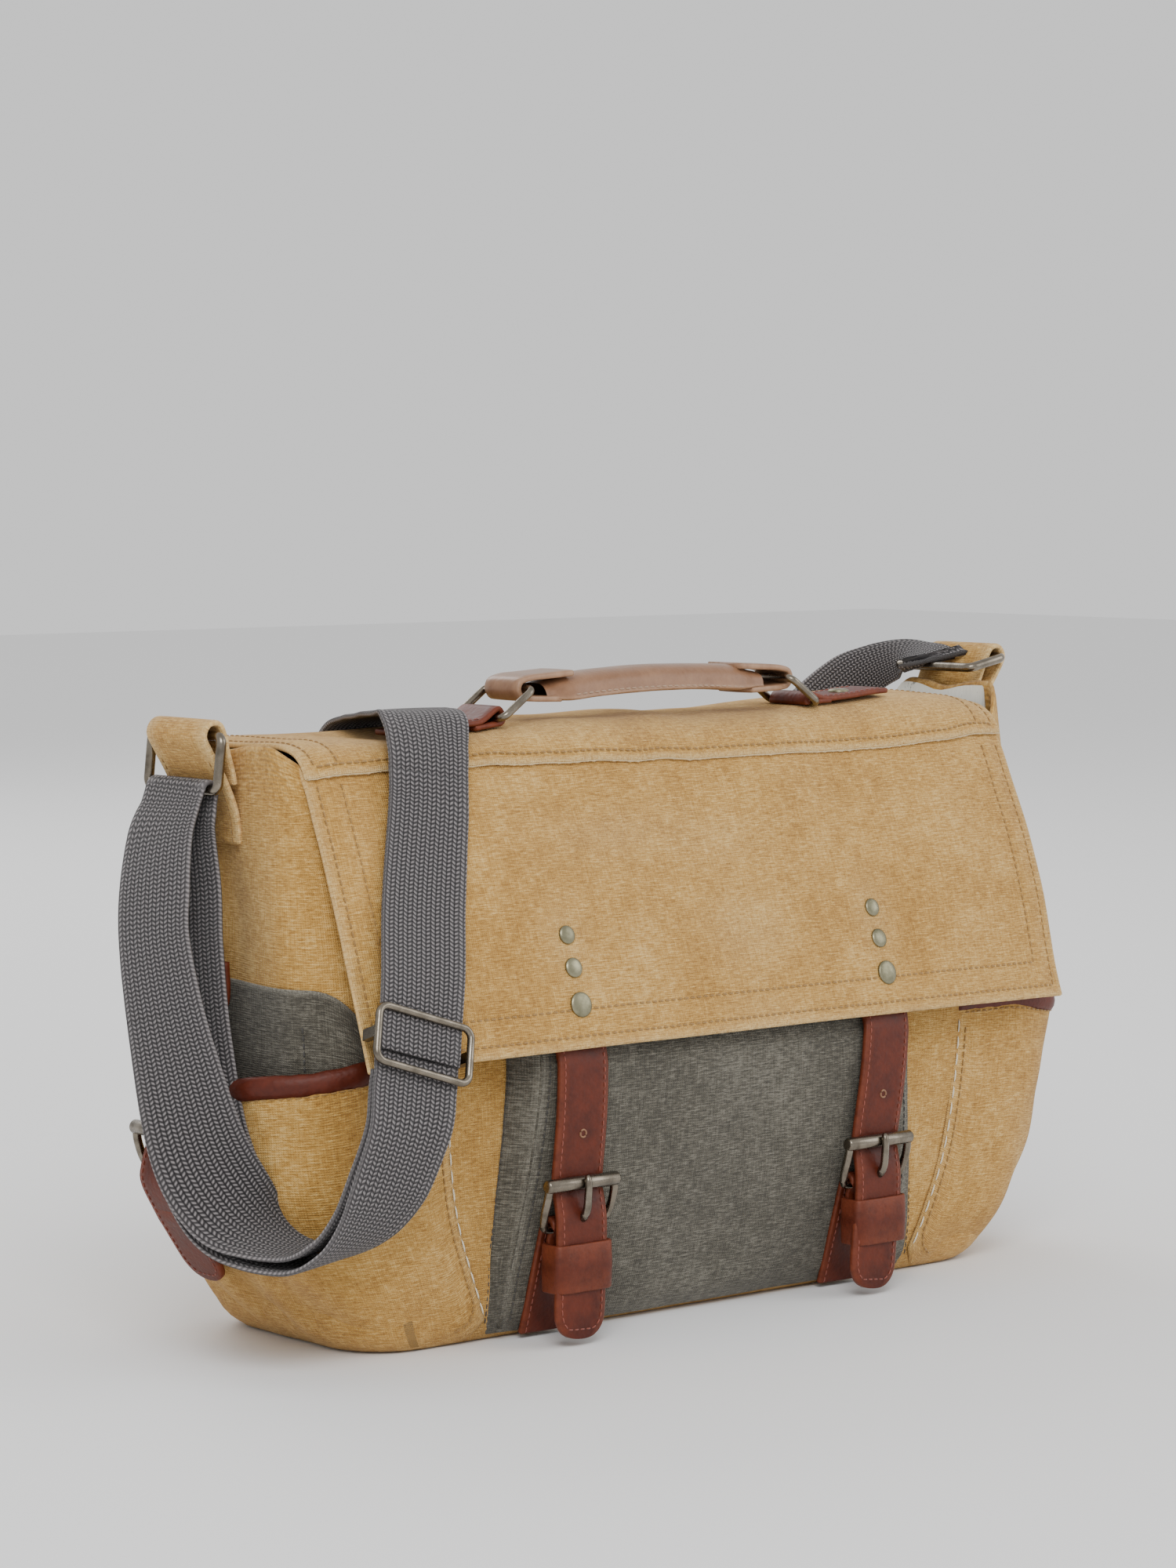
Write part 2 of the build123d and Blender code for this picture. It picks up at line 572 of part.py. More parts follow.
def make_parts():
    parts = {}
    names = ["front_panel", "back_panel", "gusset_left", "gusset_right", "base_panel"]
    parts.update(zip(names, body_panels()))
    parts["base_board"] = base_board()
    parts["lining"] = lining()
    parts["front_pocket_face"], parts["front_pocket_gusset"] = front_pocket()
    right_and_left(parts, "side_pocket", side_pocket())
    right_and_left(parts, "side_binding", side_binding())
    parts["side_facings"] = side_facing() + mirror_x(side_facing())
    right_and_left(parts, "side_strap", side_strap())
    right_and_left(parts, "side_chape", side_chape())
    right_and_left(parts, "side_buckle", side_place() * buckle_frame())
    right_and_left(parts, "side_roller", side_place() * buckle_roller())
    right_and_left(parts, "side_prong", side_place() * buckle_prong())

    posts = flap_rivets(posts_only=True)
    parts["flap_top"] = flap_top()
    parts["flap_front"] = flap_front(posts)
    parts["flap_rivets"] = flap_rivets()
    for side, word in ((-1, "_left"), (1, "_right")):
        place = Pos(side * STRAP_X, *BUCKLE_BAR)
        parts["closing_strap" + word] = closing_strap(side, posts)
        parts["base_strap" + word] = base_strap(side)
        parts["buckle_chape" + word] = buckle_chape(side)
        parts["buckle_keeper" + word] = buckle_keeper(side)
        parts["buckle_frame" + word] = place * buckle_frame()
        parts["buckle_roller" + word] = place * buckle_roller()
        parts["buckle_prong" + word] = place * buckle_prong()
        parts["handle_ring" + word] = handle_ring(side)
    parts["snap_studs"] = snap_studs()
    parts["snap_sockets"] = snap_sockets()
    parts["handle_grip"] = handle_grip()
    parts["handle_chapes"] = handle_chapes()
    parts["handle_rivets"] = handle_rivets()

    parts["strap_tabs"] = strap_tabs()
    parts["strap_ring_left"] = strap_ring(LEFT_RING, LEFT_RING_DIR)
    parts["strap_ring_right"] = strap_ring(RIGHT_RING, RIGHT_RING_DIR)
    parts["web_turn_left"] = web_turn(LEFT_RING, LEFT_RING_DIR)
    parts["web_turn_right"] = web_turn(RIGHT_RING, RIGHT_RING_DIR)
    parts["web_loop_left"] = ribbon(LOOP_LEFT, LOOP_T)
    parts["web_loop_right"] = ribbon(LOOP_RIGHT, LOOP_T)
    parts["web_front"] = ribbon(WEB_FRONT, WEB_T)
    parts["web_top"] = ribbon(WEB_TOP, WEB_T)
    parts["web_back"] = ribbon(WEB_BACK, WEB_T)
    parts["strap_slider"] = strap_slider()
    return parts


os.makedirs("parts", exist_ok=True)
for name, shape in make_parts().items():
    export_step(shape, "parts/" + name + ".step")
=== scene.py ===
from math import atan2, ceil, cos, exp, pi, radians, sin, sqrt

import bpy
import numpy as np
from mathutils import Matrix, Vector, noise


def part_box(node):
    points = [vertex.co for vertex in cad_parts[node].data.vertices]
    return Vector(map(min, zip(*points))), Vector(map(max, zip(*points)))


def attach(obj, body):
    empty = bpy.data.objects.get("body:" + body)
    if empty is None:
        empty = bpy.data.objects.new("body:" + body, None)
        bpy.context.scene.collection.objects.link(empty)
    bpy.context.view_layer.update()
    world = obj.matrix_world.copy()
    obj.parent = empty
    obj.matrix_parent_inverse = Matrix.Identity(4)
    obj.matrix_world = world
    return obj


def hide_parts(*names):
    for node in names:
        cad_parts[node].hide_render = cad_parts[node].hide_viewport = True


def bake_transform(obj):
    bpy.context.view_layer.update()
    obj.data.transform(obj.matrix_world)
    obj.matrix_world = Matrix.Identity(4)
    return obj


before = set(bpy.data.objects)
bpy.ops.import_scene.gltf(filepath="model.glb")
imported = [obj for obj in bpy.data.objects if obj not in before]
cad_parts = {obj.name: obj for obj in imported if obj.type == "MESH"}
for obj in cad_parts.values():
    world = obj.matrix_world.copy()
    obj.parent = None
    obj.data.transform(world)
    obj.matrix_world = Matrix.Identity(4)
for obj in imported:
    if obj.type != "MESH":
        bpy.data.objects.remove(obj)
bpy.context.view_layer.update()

# Lengths in this script are millimetres in the CAD frame: +Z up, the bag's front towards -Y.
MM = 0.001


def cad(node):
    """A CAD node's lowest and highest corners, in millimetres."""
    low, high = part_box(node)
    return Vector(low) / MM, Vector(high) / MM


# ---- sizes taken from the frame --------------------------------------------------------
FLAP_HALF = cad("flap_front")[1].x
RIM = cad("front_panel")[1].z
EAR_LEFT = cad("gusset_left")[1].z
EAR_RIGHT = cad("gusset_right")[1].z
POCKET_HALF = cad("front_pocket_face")[1].x
POCKET_TOP = cad("front_pocket_face")[1].z
STRAP_X = (cad("closing_strap_right")[0].x + cad("closing_strap_right")[1].x) / 2
STRAP_W = cad("closing_strap_right")[1].x - cad("closing_strap_right")[0].x
SIDE_Y = (cad("side_strap_right")[0].y + cad("side_strap_right")[1].y) / 2
HANDLE_Y = (cad("handle_grip")[0].y + cad("handle_grip")[1].y) / 2

# The bag's outline at each level: height, half width, front y, back y, corner radius.
BODY = [
    (0, 165, -50, 46, 22), (14, 178, -56, 50, 26), (60, 191, -59, 52, 28), (116, 194.5, -60, 51, 26),
    (176, 194.5, -52, 48, 20), (226, 194, -37, 40, 12), (250, 196, -30, 34, 10),
]
SIDE_POCKET = [
    (1.5, 168, -52.5, 48, 24), (25, 188, -61, 53.5, 30), (50, 202, -62.5, 55.5, 32),
    (75, 210, -63.2, 56, 34), (108, 214, -63.5, 55, 34), (116, 214.5, -63.5, 55, 34),
]
# (y, z) profiles
FLAP = [(45.6, 214), (44.6, 224), (42.4, 231.5), (37.5, 236.5), (20, 239.5), (-8, 240), (-24, 239.5),
        (-34, 236.5), (-40, 231), (-43, 224.3), (-60, 180), (-72, 146), (-82, 116)]
POCKET_FACE = [(-57.5, 3), (-62, 22), (-70, 60), (-74.3, 104), (-73.4, 116), (-66.8, 138)]
WORD = {-1: "left", 1: "right"}


# ---- camera ----------------------------------------------------------------------------
def make_camera():
    data = bpy.data.cameras.new("camera")
    data.lens = 99.0
    data.sensor_width = 36.0
    camera = bpy.data.objects.new("camera", data)
    bpy.context.collection.objects.link(camera)
    camera.location = (-1.1687, -1.3526, 0.344)
    camera.rotation_euler = (radians(90 - 4.25), 0, -radians(40.51))
    bpy.context.scene.camera = camera


# ---- curve and surface helpers ---------------------------------------------------------
def spline(points, count):
    """Count points evenly spaced along a smooth (Catmull-Rom) curve through the given ones."""
    pts = np.array(points, float)
    ext = np.vstack([2 * pts[0] - pts[1], pts, 2 * pts[-1] - pts[-2]])
    fine = []
    for i in range(1, len(ext) - 2):
        p0, p1, p2, p3 = ext[i - 1:i + 3]
        for t in np.linspace(0, 1, 16, endpoint=False):
            fine.append(0.5 * (2 * p1 + (p2 - p0) * t + (2 * p0 - 5 * p1 + 4 * p2 - p3) * t ** 2
                               + (3 * p1 - p0 - 3 * p2 + p3) * t ** 3))
    fine.append(ext[-2])
    return even(fine, count)


def lengths(points):
    pts = np.array(points, float)
    return np.concatenate([[0], np.cumsum(np.linalg.norm(np.diff(pts[:, :3], axis=0), axis=1))])


def even(points, count):
    """The polyline resampled at count evenly spaced places, measured on its first three columns."""
    pts = np.array(points, float)
    s = lengths(pts)
    at = np.linspace(0, s[-1], count)
    return np.column_stack([np.interp(at, s, pts[:, k]) for k in range(pts.shape[1])])


def smooth(a, b, x):
    t = min(max((x - a) / (b - a), 0.0), 1.0)
    return t * t * (3 - 2 * t)


def bump(x, centre, width):
    return exp(-((x - centre) / width) ** 2)


def crumple(p, size, amount, seed=0.0):
    """Soft irregular creases: noise of the given size in mm, up to amount mm high."""
    q = Vector((p[0] / size + seed, p[1] / size - seed, p[2] / size + 2 * seed))
    return amount * noise.noise(q)


def sections_at(table):
    """A function giving the smooth outline values of a table of levels at height z."""
    levels = np.array(table, float)
    fine = spline(levels, 240)
    order = np.argsort(fine[:, 0])
    fine = fine[order]

    def at(z):
        return [float(np.interp(z, fine[:, 0], fine[:, k])) for k in range(1, 5)]
    return at


body_at = sections_at(BODY)
side_at = sections_at(SIDE_POCKET)


def ring_point(values, t, grow=0.0):
    """A point on a rounded rectangle. t is x on the front, and runs on round the corners.

    On the right side t goes from 200 (front corner) to 300 (back corner), then along the back.
    """
    half, front, back, r = values
    sign = 1 if t >= 0 else -1
    a = abs(t)
    flat = half - r
    if a <= 160:
        x, y, nx, ny = flat * a / 160, front, 0, -1
    elif a <= 200:
        angle = (a - 160) / 40 * pi / 2
        nx, ny = sin(angle), -cos(angle)
        x, y = flat + r * nx, front + r + r * ny
    elif a <= 260:
        x, nx, ny = half, 1, 0
        y = front + r + (back - front - 2 * r) * (a - 200) / 60
    elif a <= 300:
        angle = (a - 260) / 40 * pi / 2
        nx, ny = cos(angle), sin(angle)
        x, y = flat + r * nx, back - r + r * ny
    else:
        x, y, nx, ny = flat * (460 - a) / 160, back, 0, 1
    return Vector((sign * (x + nx * grow), y + ny * grow, 0)), Vector((sign * nx, ny, 0))


# ---- mesh helpers ----------------------------------------------------------------------
def new_object(name, verts, faces, uvs=None, wear=None):
    mesh = bpy.data.meshes.new(name)
    mesh.from_pydata([tuple(v[k] * MM for k in range(3)) for v in verts], [], faces)
    if uvs is not None:
        layer = mesh.uv_layers.new(name="UVMap")
        index = np.zeros(len(mesh.loops), int)
        mesh.loops.foreach_get("vertex_index", index)
        layer.data.foreach_set("uv", np.array(uvs, float)[index].ravel())
    values = np.zeros(len(verts)) if wear is None else np.array(wear, float)
    mesh.attributes.new("wear", "FLOAT", "POINT").data.foreach_set("value", values.astype(np.float32))
    mesh.polygons.foreach_set("use_smooth", [True] * len(mesh.polygons))
    mesh.update()
    obj = bpy.data.objects.new(name, mesh)
    bpy.context.collection.objects.link(obj)
    return obj


def grid(name, rows, close=False, wear=None):
    """A sheet through rows of points. Its UVs are millimetres along the rows and down them."""
    rows = np.array([[tuple(p) for p in row] for row in rows], float)
    count, width = rows.shape[:2]
    u, v = np.meshgrid(lengths(rows[count // 2]), lengths(rows[:, width // 2]))
    uvs = np.column_stack([u.ravel(), v.ravel()])
    faces = []
    for i in range(count - 1):
        for j in range(width - 1 if not close else width):
            k = (j + 1) % width
            faces.append((i * width + j, (i + 1) * width + j, (i + 1) * width + k, i * width + k))
    flat_wear = None if wear is None else np.array(wear, float).ravel()
    return new_object(name, rows.reshape(-1, 3), faces, uvs, flat_wear)


def band(faces, first, second, sides):
    """Adds the faces between two closed rings of vertices, given by their first ones."""
    for k in range(sides):
        m = (k + 1) % sides
        faces.append((first + k, first + m, second + m, second + k))


def thicken(obj, thickness):
    """Gives a sheet its thickness and rounds it off."""
    solid = obj.modifiers.new("thickness", "SOLIDIFY")
    solid.thickness = thickness * MM
    solid.offset = -1.0
    round_off(obj)


def round_off(obj):
    rounding = obj.modifiers.new("round", "SUBSURF")
    rounding.levels = 1
    rounding.render_levels = 1
    apply_modifiers(obj)


def apply_modifiers(obj):
    depsgraph = bpy.context.evaluated_depsgraph_get()
    mesh = bpy.data.meshes.new_from_object(obj.evaluated_get(depsgraph), preserve_all_data_layers=True,
                                           depsgraph=depsgraph)
    obj.modifiers.clear()
    old = obj.data
    obj.data = mesh
    bpy.data.meshes.remove(old)


def surface_frame(surface, u, v):
    """Point and outward normal of a surface function at (u, v)."""
    step = 0.6
    p = Vector(surface(u, v))
    du = Vector(surface(u + step, v)) - Vector(surface(u - step, v))
    dv = Vector(surface(u, v + step)) - Vector(surface(u, v - step))
    n = du.cross(dv)
    if n.length < 1e-9:
        n = Vector((0, -1, 0))
    return p, n.normalized()


def on_surface(surface, uv_points, lift, outward):
    """A line of (u, v) places laid on a surface: points lifted off it, with their normals."""
    raw = []
    for (u0, v0), (u1, v1) in zip(uv_points, uv_points[1:]):
        steps = max(int(ceil(max(abs(u1 - u0), abs(v1 - v0)) / 3)), 2)
        for k in range(steps):
            s = k / steps
            raw.append((u0 + (u1 - u0) * s, v0 + (v1 - v0) * s))
    raw.append(uv_points[-1])
    points, normals = [], []
    for u, v in raw:
        p, n = surface_frame(surface, u, v)
        n = n * outward
        points.append(p + n * lift)
        normals.append(n)
    return points, normals


class Threads:
    """Collects stitches, each a small capsule of thread, into one mesh."""

    def __init__(self):
        self.verts, self.faces = [], []

    def stitch(self, a, b, normal, radius):
        along = b - a
        size = along.length
        if size < 1e-6:
            return
        along = along / size
        side = along.cross(normal).normalized()
        up = side.cross(along)
        first = len(self.verts)
        shape = [(0.0, 0.35, -0.45), (0.18, 0.9, 0.05), (0.5, 1.0, 0.25), (0.82, 0.9, 0.05), (1.0, 0.35, -0.45)]
        for s, r, lift in shape:
            for k in range(6):
                angle = k * pi / 3
                self.verts.append(a + along * (size * s) + side * (radius * r * cos(angle))
                                  + up * (radius * (r * sin(angle) * 0.8 + lift)))
        for ring in range(first, first + 24, 6):
            band(self.faces, ring, ring + 6, 6)
        self.faces.append(tuple(first + k for k in range(5, -1, -1)))
        self.faces.append(tuple(first + 24 + k for k in range(6)))

    def row(self, points, normals, pitch=3.6, radius=0.34, gap=0.25):
        pts = np.array([tuple(p) for p in points])
        nrm = np.array([tuple(n) for n in normals])
        s = lengths(pts)
        total = int(s[-1] / pitch)
        if total < 1:
            return
        pitch = s[-1] / total
        for i in range(total):
            ends = [(i + gap / 2) * pitch, (i + 1 - gap / 2) * pitch]
            a, b = (Vector([np.interp(e, s, pts[:, k]) for k in range(3)]) for e in ends)
            n = Vector([np.interp(sum(ends) / 2, s, nrm[:, k]) for k in range(3)])
            self.stitch(a, b, n, radius)

    def on(self, surface, uv_points, outward, pitch=3.4, radius=0.42, lift=0.3):
        self.row(*on_surface(surface, uv_points, lift, outward), pitch=pitch, radius=radius)

    def finish(self, name, material, slot, **where):
        obj = new_object(name, self.verts, self.faces, [(v[0], v[2]) for v in self.verts])
        finish_piece(obj, material, slot, **where)


# ---- materials -------------------------------------------------------------------------
class Nodes:
    """Small helper that builds a node tree for one material."""

    def __init__(self, name):
        self.material = bpy.data.materials.new(name)
        self.material.use_nodes = True
        self.tree = self.material.node_tree
        self.shader = self.tree.nodes["Principled BSDF"]

    def add(self, kind, **values):
        node = self.tree.nodes.new(kind)
        for key, value in values.items():
            if hasattr(node, key) and not isinstance(value, tuple):
                setattr(node, key, value)
            else:
                node.inputs[key.replace("_", " ")].default_value = value
        return node

    def link(self, a, b):
        self.tree.links.new(a, b)

    def uv(self, scale=(1, 1, 1), turn=0.0):
        source = self.add("ShaderNodeUVMap", uv_map="UVMap")
        mapping = self.add("ShaderNodeMapping")
        mapping.inputs["Scale"].default_value = scale
        mapping.inputs["Rotation"].default_value = (0, 0, turn)
        self.link(source.outputs["UV"], mapping.inputs["Vector"])
        return mapping.outputs["Vector"]

    def space(self):
        return self.add("ShaderNodeTexCoord").outputs["Object"]

    def noise(self, vector, scale, detail=3.0, rough=0.5):
        node = self.add("ShaderNodeTexNoise")
        node.inputs["Scale"].default_value = scale
        node.inputs["Detail"].default_value = detail
        node.inputs["Roughness"].default_value = rough
        self.link(vector, node.inputs["Vector"])
        return node.outputs["Fac"]

    def math(self, operation, a, b=None, clamp=False):
        node = self.add("ShaderNodeMath", operation=operation)
        node.use_clamp = clamp
        for socket, value in zip(node.inputs, (a, b)):
            if value is None:
                continue
            if isinstance(value, (int, float)):
                socket.default_value = value
            else:
                self.link(value, socket)
        return node.outputs[0]

    def span(self, value, low, high, to_low=0.0, to_high=1.0):
        node = self.add("ShaderNodeMapRange")
        for socket, number in zip(list(node.inputs)[1:5], (low, high, to_low, to_high)):
            socket.default_value = number
        self.link(value, node.inputs["Value"])
        return node.outputs["Result"]

    def mix(self, factor, a, b):
        node = self.add("ShaderNodeMix", data_type="RGBA", blend_type="MIX")
        if isinstance(factor, (int, float)):
            node.inputs[0].default_value = factor
        else:
            self.link(factor, node.inputs[0])
        for socket, value in ((node.inputs[6], a), (node.inputs[7], b)):
            if isinstance(value, tuple):
                socket.default_value = (*value, 1.0)
            else:
                self.link(value, socket)
        return node.outputs[2]

    def wear(self):
        return self.add("ShaderNodeAttribute", attribute_name="wear").outputs["Fac"]

    def colour(self, value):
        if isinstance(value, tuple):
            self.shader.inputs["Base Color"].default_value = (*value, 1.0)
        else:
            self.link(value, self.shader.inputs["Base Color"])

    def relief(self, height, distance, strength=1.0):
        node = self.add("ShaderNodeBump")
        node.inputs["Strength"].default_value = strength
        node.inputs["Distance"].default_value = distance * MM
        self.link(height, node.inputs["Height"])
        self.link(node.outputs["Normal"], self.shader.inputs["Normal"])

    def set(self, **values):
        for key, value in values.items():
            socket = self.shader.inputs[key.replace("_", " ")]
            if isinstance(value, (int, float, tuple)):
                socket.default_value = value
            else:
                self.link(value, socket)


def canvas(name, base, light, dark, worn, slubs=1.0):
    """Washed plain-weave cotton: slubby threads, faded patches and pale worn edges."""
    n = Nodes(name)
    uv = n.uv()
    warp = n.noise(n.uv((1.1, 0.10, 1)), 1.0, 2)
    weft = n.noise(n.uv((0.13, 1.25, 1)), 1.0, 3, 0.6)
    dashes = n.noise(n.uv((0.28, 1.9, 1)), 1.0, 2, 0.6)
    patches = n.noise(uv, 0.016, 6, 0.62)
    mottle = n.noise(uv, 0.10, 4, 0.6)
    grit = n.noise(uv, 0.8, 3, 0.7)
    threads = n.math("ADD", n.math("MULTIPLY", warp, 0.32), n.math("MULTIPLY", weft, 0.68))
    weights = ((patches, 0.32), (mottle, 0.18), (threads, 0.55 * slubs), (dashes, 0.45 * slubs), (grit, 0.22))
    tone = 0.0
    for value, weight in weights:
        tone = n.math("ADD", tone, n.math("MULTIPLY", value, weight))
    middle = sum(weight for _, weight in weights) / 2
    deep = n.span(tone, middle - 0.13, middle + 0.01, 1.0, 0.0)
    pale = n.span(tone, middle + 0.01, middle + 0.15, 0.0, 1.0)
    colour = n.mix(n.math("MULTIPLY", deep, 0.85, clamp=True), base, dark)
    colour = n.mix(n.math("MULTIPLY", pale, 0.8, clamp=True), colour, light)
    scuff = n.math("MULTIPLY", n.wear(), n.span(grit, 0.35, 0.65, 0.25, 1.0), clamp=True)
    n.colour(n.mix(scuff, colour, worn))
    ribs = []
    for direction, scale in (("X", 0.33), ("Y", 0.36)):
        wave = n.add("ShaderNodeTexWave", bands_direction=direction)
        n.link(uv, wave.inputs["Vector"])
        wave.inputs["Scale"].default_value = scale
        wave.inputs["Distortion"].default_value = 0.6
        ribs.append(wave.outputs["Fac"])
    height = n.math("MULTIPLY", *ribs)
    height = n.math("ADD", height, n.math("MULTIPLY", threads, 1.8))
    height = n.math("ADD", height, n.math("MULTIPLY", mottle, 1.5))
    n.relief(height, 0.32, 0.85)
    n.set(Roughness=0.88, Sheen_Weight=0.15, Sheen_Roughness=0.5, Specular_IOR_Level=0.2)
    return n.material


def leather(name, base, dark, light, roughness=0.5, grain=0.28, coat=0.0):
    """Pull-up leather: pebbled grain, darker hollows, lighter rubbed edges."""
    n = Nodes(name)
    uv = n.uv()
    pebbles = n.add("ShaderNodeTexVoronoi", feature="SMOOTH_F1")
    pebbles.inputs["Scale"].default_value = 0.75
    n.link(n.mix(0.12, uv, n.add("ShaderNodeTexNoise").outputs["Color"]), pebbles.inputs["Vector"])
    creases = n.noise(uv, 0.22, 6, 0.7)
    blotch = n.noise(uv, 0.05, 4, 0.6)
    tone = n.math("ADD", n.math("MULTIPLY", blotch, 0.6), n.math("MULTIPLY", creases, 0.4))
    colour = n.mix(n.span(tone, 0.35, 0.65), dark, base)
    rub = n.math("MULTIPLY", n.wear(), n.span(creases, 0.3, 0.7, 0.3, 1.0), clamp=True)
    colour = n.mix(rub, colour, light)
    n.colour(colour)
    height = n.math("ADD", n.math("MULTIPLY", pebbles.outputs["Distance"], 0.7), creases)
    n.relief(height, grain, 0.6)
    n.set(Roughness=n.span(tone, 0.3, 0.7, roughness - 0.08, roughness + 0.1))
    n.set(Specular_IOR_Level=0.28, Coat_Weight=coat, Coat_Roughness=0.3)
    return n.material


def webbing_cloth(name, base, light, dark):
    """Cotton herringbone webbing: columns of slanted yarns that change hand from one to the next, coloured with
    painted shade between the yarns, painted highlights on their tops and paler worn edges.
    """
    n = Nodes(name)
    source = n.add("ShaderNodeUVMap", uv_map="UVMap")
    parts = n.add("ShaderNodeSeparateXYZ")
    n.link(source.outputs["UV"], parts.inputs[0])
    u, v = parts.outputs[0], parts.outputs[1]
    column, slant, pitch = 2.1, 0.62, 1.75
    place = n.math("DIVIDE", u, column)
    within = n.math("PINGPONG", place, 1.0)
    course = n.math("ADD", n.math("DIVIDE", v, pitch), n.math("MULTIPLY", within, slant))
    stripe = n.math("ABSOLUTE", n.math("SUBTRACT", n.math("FRACT", course), 0.5))
    yarn = n.math("SUBTRACT", 1.0, n.math("MULTIPLY", stripe, 2.0))
    edge = n.math("ABSOLUTE", n.math("SUBTRACT", n.math("FRACT", place), 0.5))
    ridge = n.math("SUBTRACT", 1.0, n.math("POWER", n.math("MULTIPLY", edge, 2.0), 3.0))
    height = n.math("MULTIPLY", n.math("POWER", yarn, 0.6), ridge)
    fuzz = n.noise(source.outputs["UV"], 1.3, 3, 0.7)
    yarn_light_and_shade = n.math("ADD", n.math("MULTIPLY", height, 0.8), n.math("MULTIPLY", fuzz, 0.35))
    # painted shade: the dark colour goes where the yarn relief is low, between the yarns
    colour = n.mix(n.span(yarn_light_and_shade, 0.2, 0.7), dark, base)
    # painted highlight: the light colour goes on the tops of the yarns
    colour = n.mix(n.math("MULTIPLY", n.span(yarn_light_and_shade, 0.6, 0.95), 0.9), colour, light)
    # real wear on the edges, in the same light colour as the painted highlight
    colour = n.mix(n.math("MULTIPLY", n.wear(), 0.45), colour, light)
    n.colour(colour)
    n.relief(height, 0.8, 0.9)
    n.set(Roughness=0.85, Sheen_Weight=0.15, Specular_IOR_Level=0.2)
    return n.material


def metal(name, base, tarnish, roughness):
    n = Nodes(name)
    at = n.space()
    cloud = n.noise(at, 160, 4, 0.6)
    fine = n.noise(at, 1400, 2)
    n.colour(n.mix(n.span(cloud, 0.4, 0.7), base, tarnish))
    n.set(Metallic=1.0, Roughness=n.span(cloud, 0.3, 0.7, roughness - 0.06, roughness + 0.12))
    n.relief(fine, 0.02, 0.3)
    return n.material


def thread(name, base):
    n = Nodes(name)
    twist = n.noise(n.space(), 1500, 2)
    n.colour(n.mix(n.span(twist, 0.3, 0.7), tuple(c * 0.75 for c in base), base))
    n.relief(twist, 0.05, 0.5)
    n.set(Roughness=0.7, Sheen_Weight=0.2)
    return n.material


def print_cloth(name):
    """Pale lining with a sparse dark printed fleck."""
    n = Nodes(name)
    uv = n.uv((0.05, 0.11, 1), 0.5)
    fleck = n.noise(uv, 1.6, 6, 0.75)
    strokes = n.noise(n.uv((0.16, 0.03, 1), 0.9), 1.4, 3, 0.6)
    mark = n.math("MULTIPLY", n.span(fleck, 0.56, 0.6), n.span(strokes, 0.5, 0.56), clamp=True)
    grit = n.noise(n.uv(), 0.8, 2)
    pale = n.mix(grit, (0.62, 0.62, 0.55), (0.78, 0.78, 0.72))
    n.colour(n.mix(mark, pale, (0.05, 0.055, 0.06)))
    n.relief(grit, 0.1, 0.5)
    n.set(Roughness=0.85, Specular_IOR_Level=0.2)
    return n.material


TAN = canvas("tan_canvas", (0.51, 0.285, 0.070), (0.76, 0.51, 0.19), (0.30, 0.14, 0.026), (0.78, 0.58, 0.29))
GREY = canvas("grey_canvas", (0.100, 0.091, 0.070), (0.20, 0.185, 0.15), (0.047, 0.042, 0.032),
              (0.36, 0.34, 0.28), 1.5)
LEATHER = leather("brown_leather", (0.120, 0.0195, 0.0070), (0.052, 0.0078, 0.0032), (0.24, 0.060, 0.025), 0.46)
TAUPE = leather("taupe_leather", (0.30, 0.16, 0.088), (0.19, 0.092, 0.047), (0.46, 0.29, 0.18), 0.34, 0.22, 0.14)
# light is the painted highlight on the yarn tops and also the worn edges' colour; dark is the painted shade between
# the yarns
WEBBING = webbing_cloth("webbing", (0.082, 0.074, 0.076), (0.30, 0.275, 0.275), (0.010, 0.009, 0.010))
GUNMETAL = metal("gunmetal", (0.24, 0.208, 0.165), (0.12, 0.103, 0.08), 0.24)
NICKEL = metal("nickel", (0.30, 0.28, 0.185), (0.17, 0.16, 0.10), 0.32)
PALE_THREAD = thread("pale_thread", (0.33, 0.18, 0.045))
CREAM_THREAD = thread("cream_thread", (0.80, 0.72, 0.55))
RED_THREAD = thread("red_thread", (0.26, 0.06, 0.035))
DARK_THREAD = thread("dark_thread", (0.05, 0.045, 0.04))
TAUPE_THREAD = thread("taupe_thread", (0.40, 0.26, 0.17))
PRINT = print_cloth("lining_print")


def finish_piece(obj, material, slot, *nodes, body=None, blend=None):
    """Gives a piece its material if it has none, hides the CAD nodes that it stands for and attaches it to its body;
    with a blend it only bakes its transform. The slot argument is not used.
    """
    if not obj.data.materials:
        obj.data.materials.append(material)
    nodes = [node for node in nodes if node]
    if nodes:
        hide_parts(*nodes)
    if blend:
        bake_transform(obj)
    else:
        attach(obj, body)
    return obj


# Where the cloth would bend across the joints: body, body, start and end of the bend. The script does not read these
# values; a piece given one only has its transform baked.
BACK_SEAM = ("bag", "flap_top", (0, 46, 229), (0, 16, 241))
FLAP_FOLD = ("flap_top", "flap_front", (0, -44, 218), (0, -56, 190))


# ---- bag body --------------------------------------------------------------------------
def rim_height(t):
    """Top edge of the bag: raised ears at the gussets, beside the flap."""
    a = abs(t)
    ear = EAR_LEFT if t < 0 else EAR_RIGHT
    rise = smooth(158, 196, a) * (1 - smooth(266, 286, a))
    dip = 3.0 * bump(a, 232, 14)
    return RIM + (ear - RIM) * rise - dip * rise


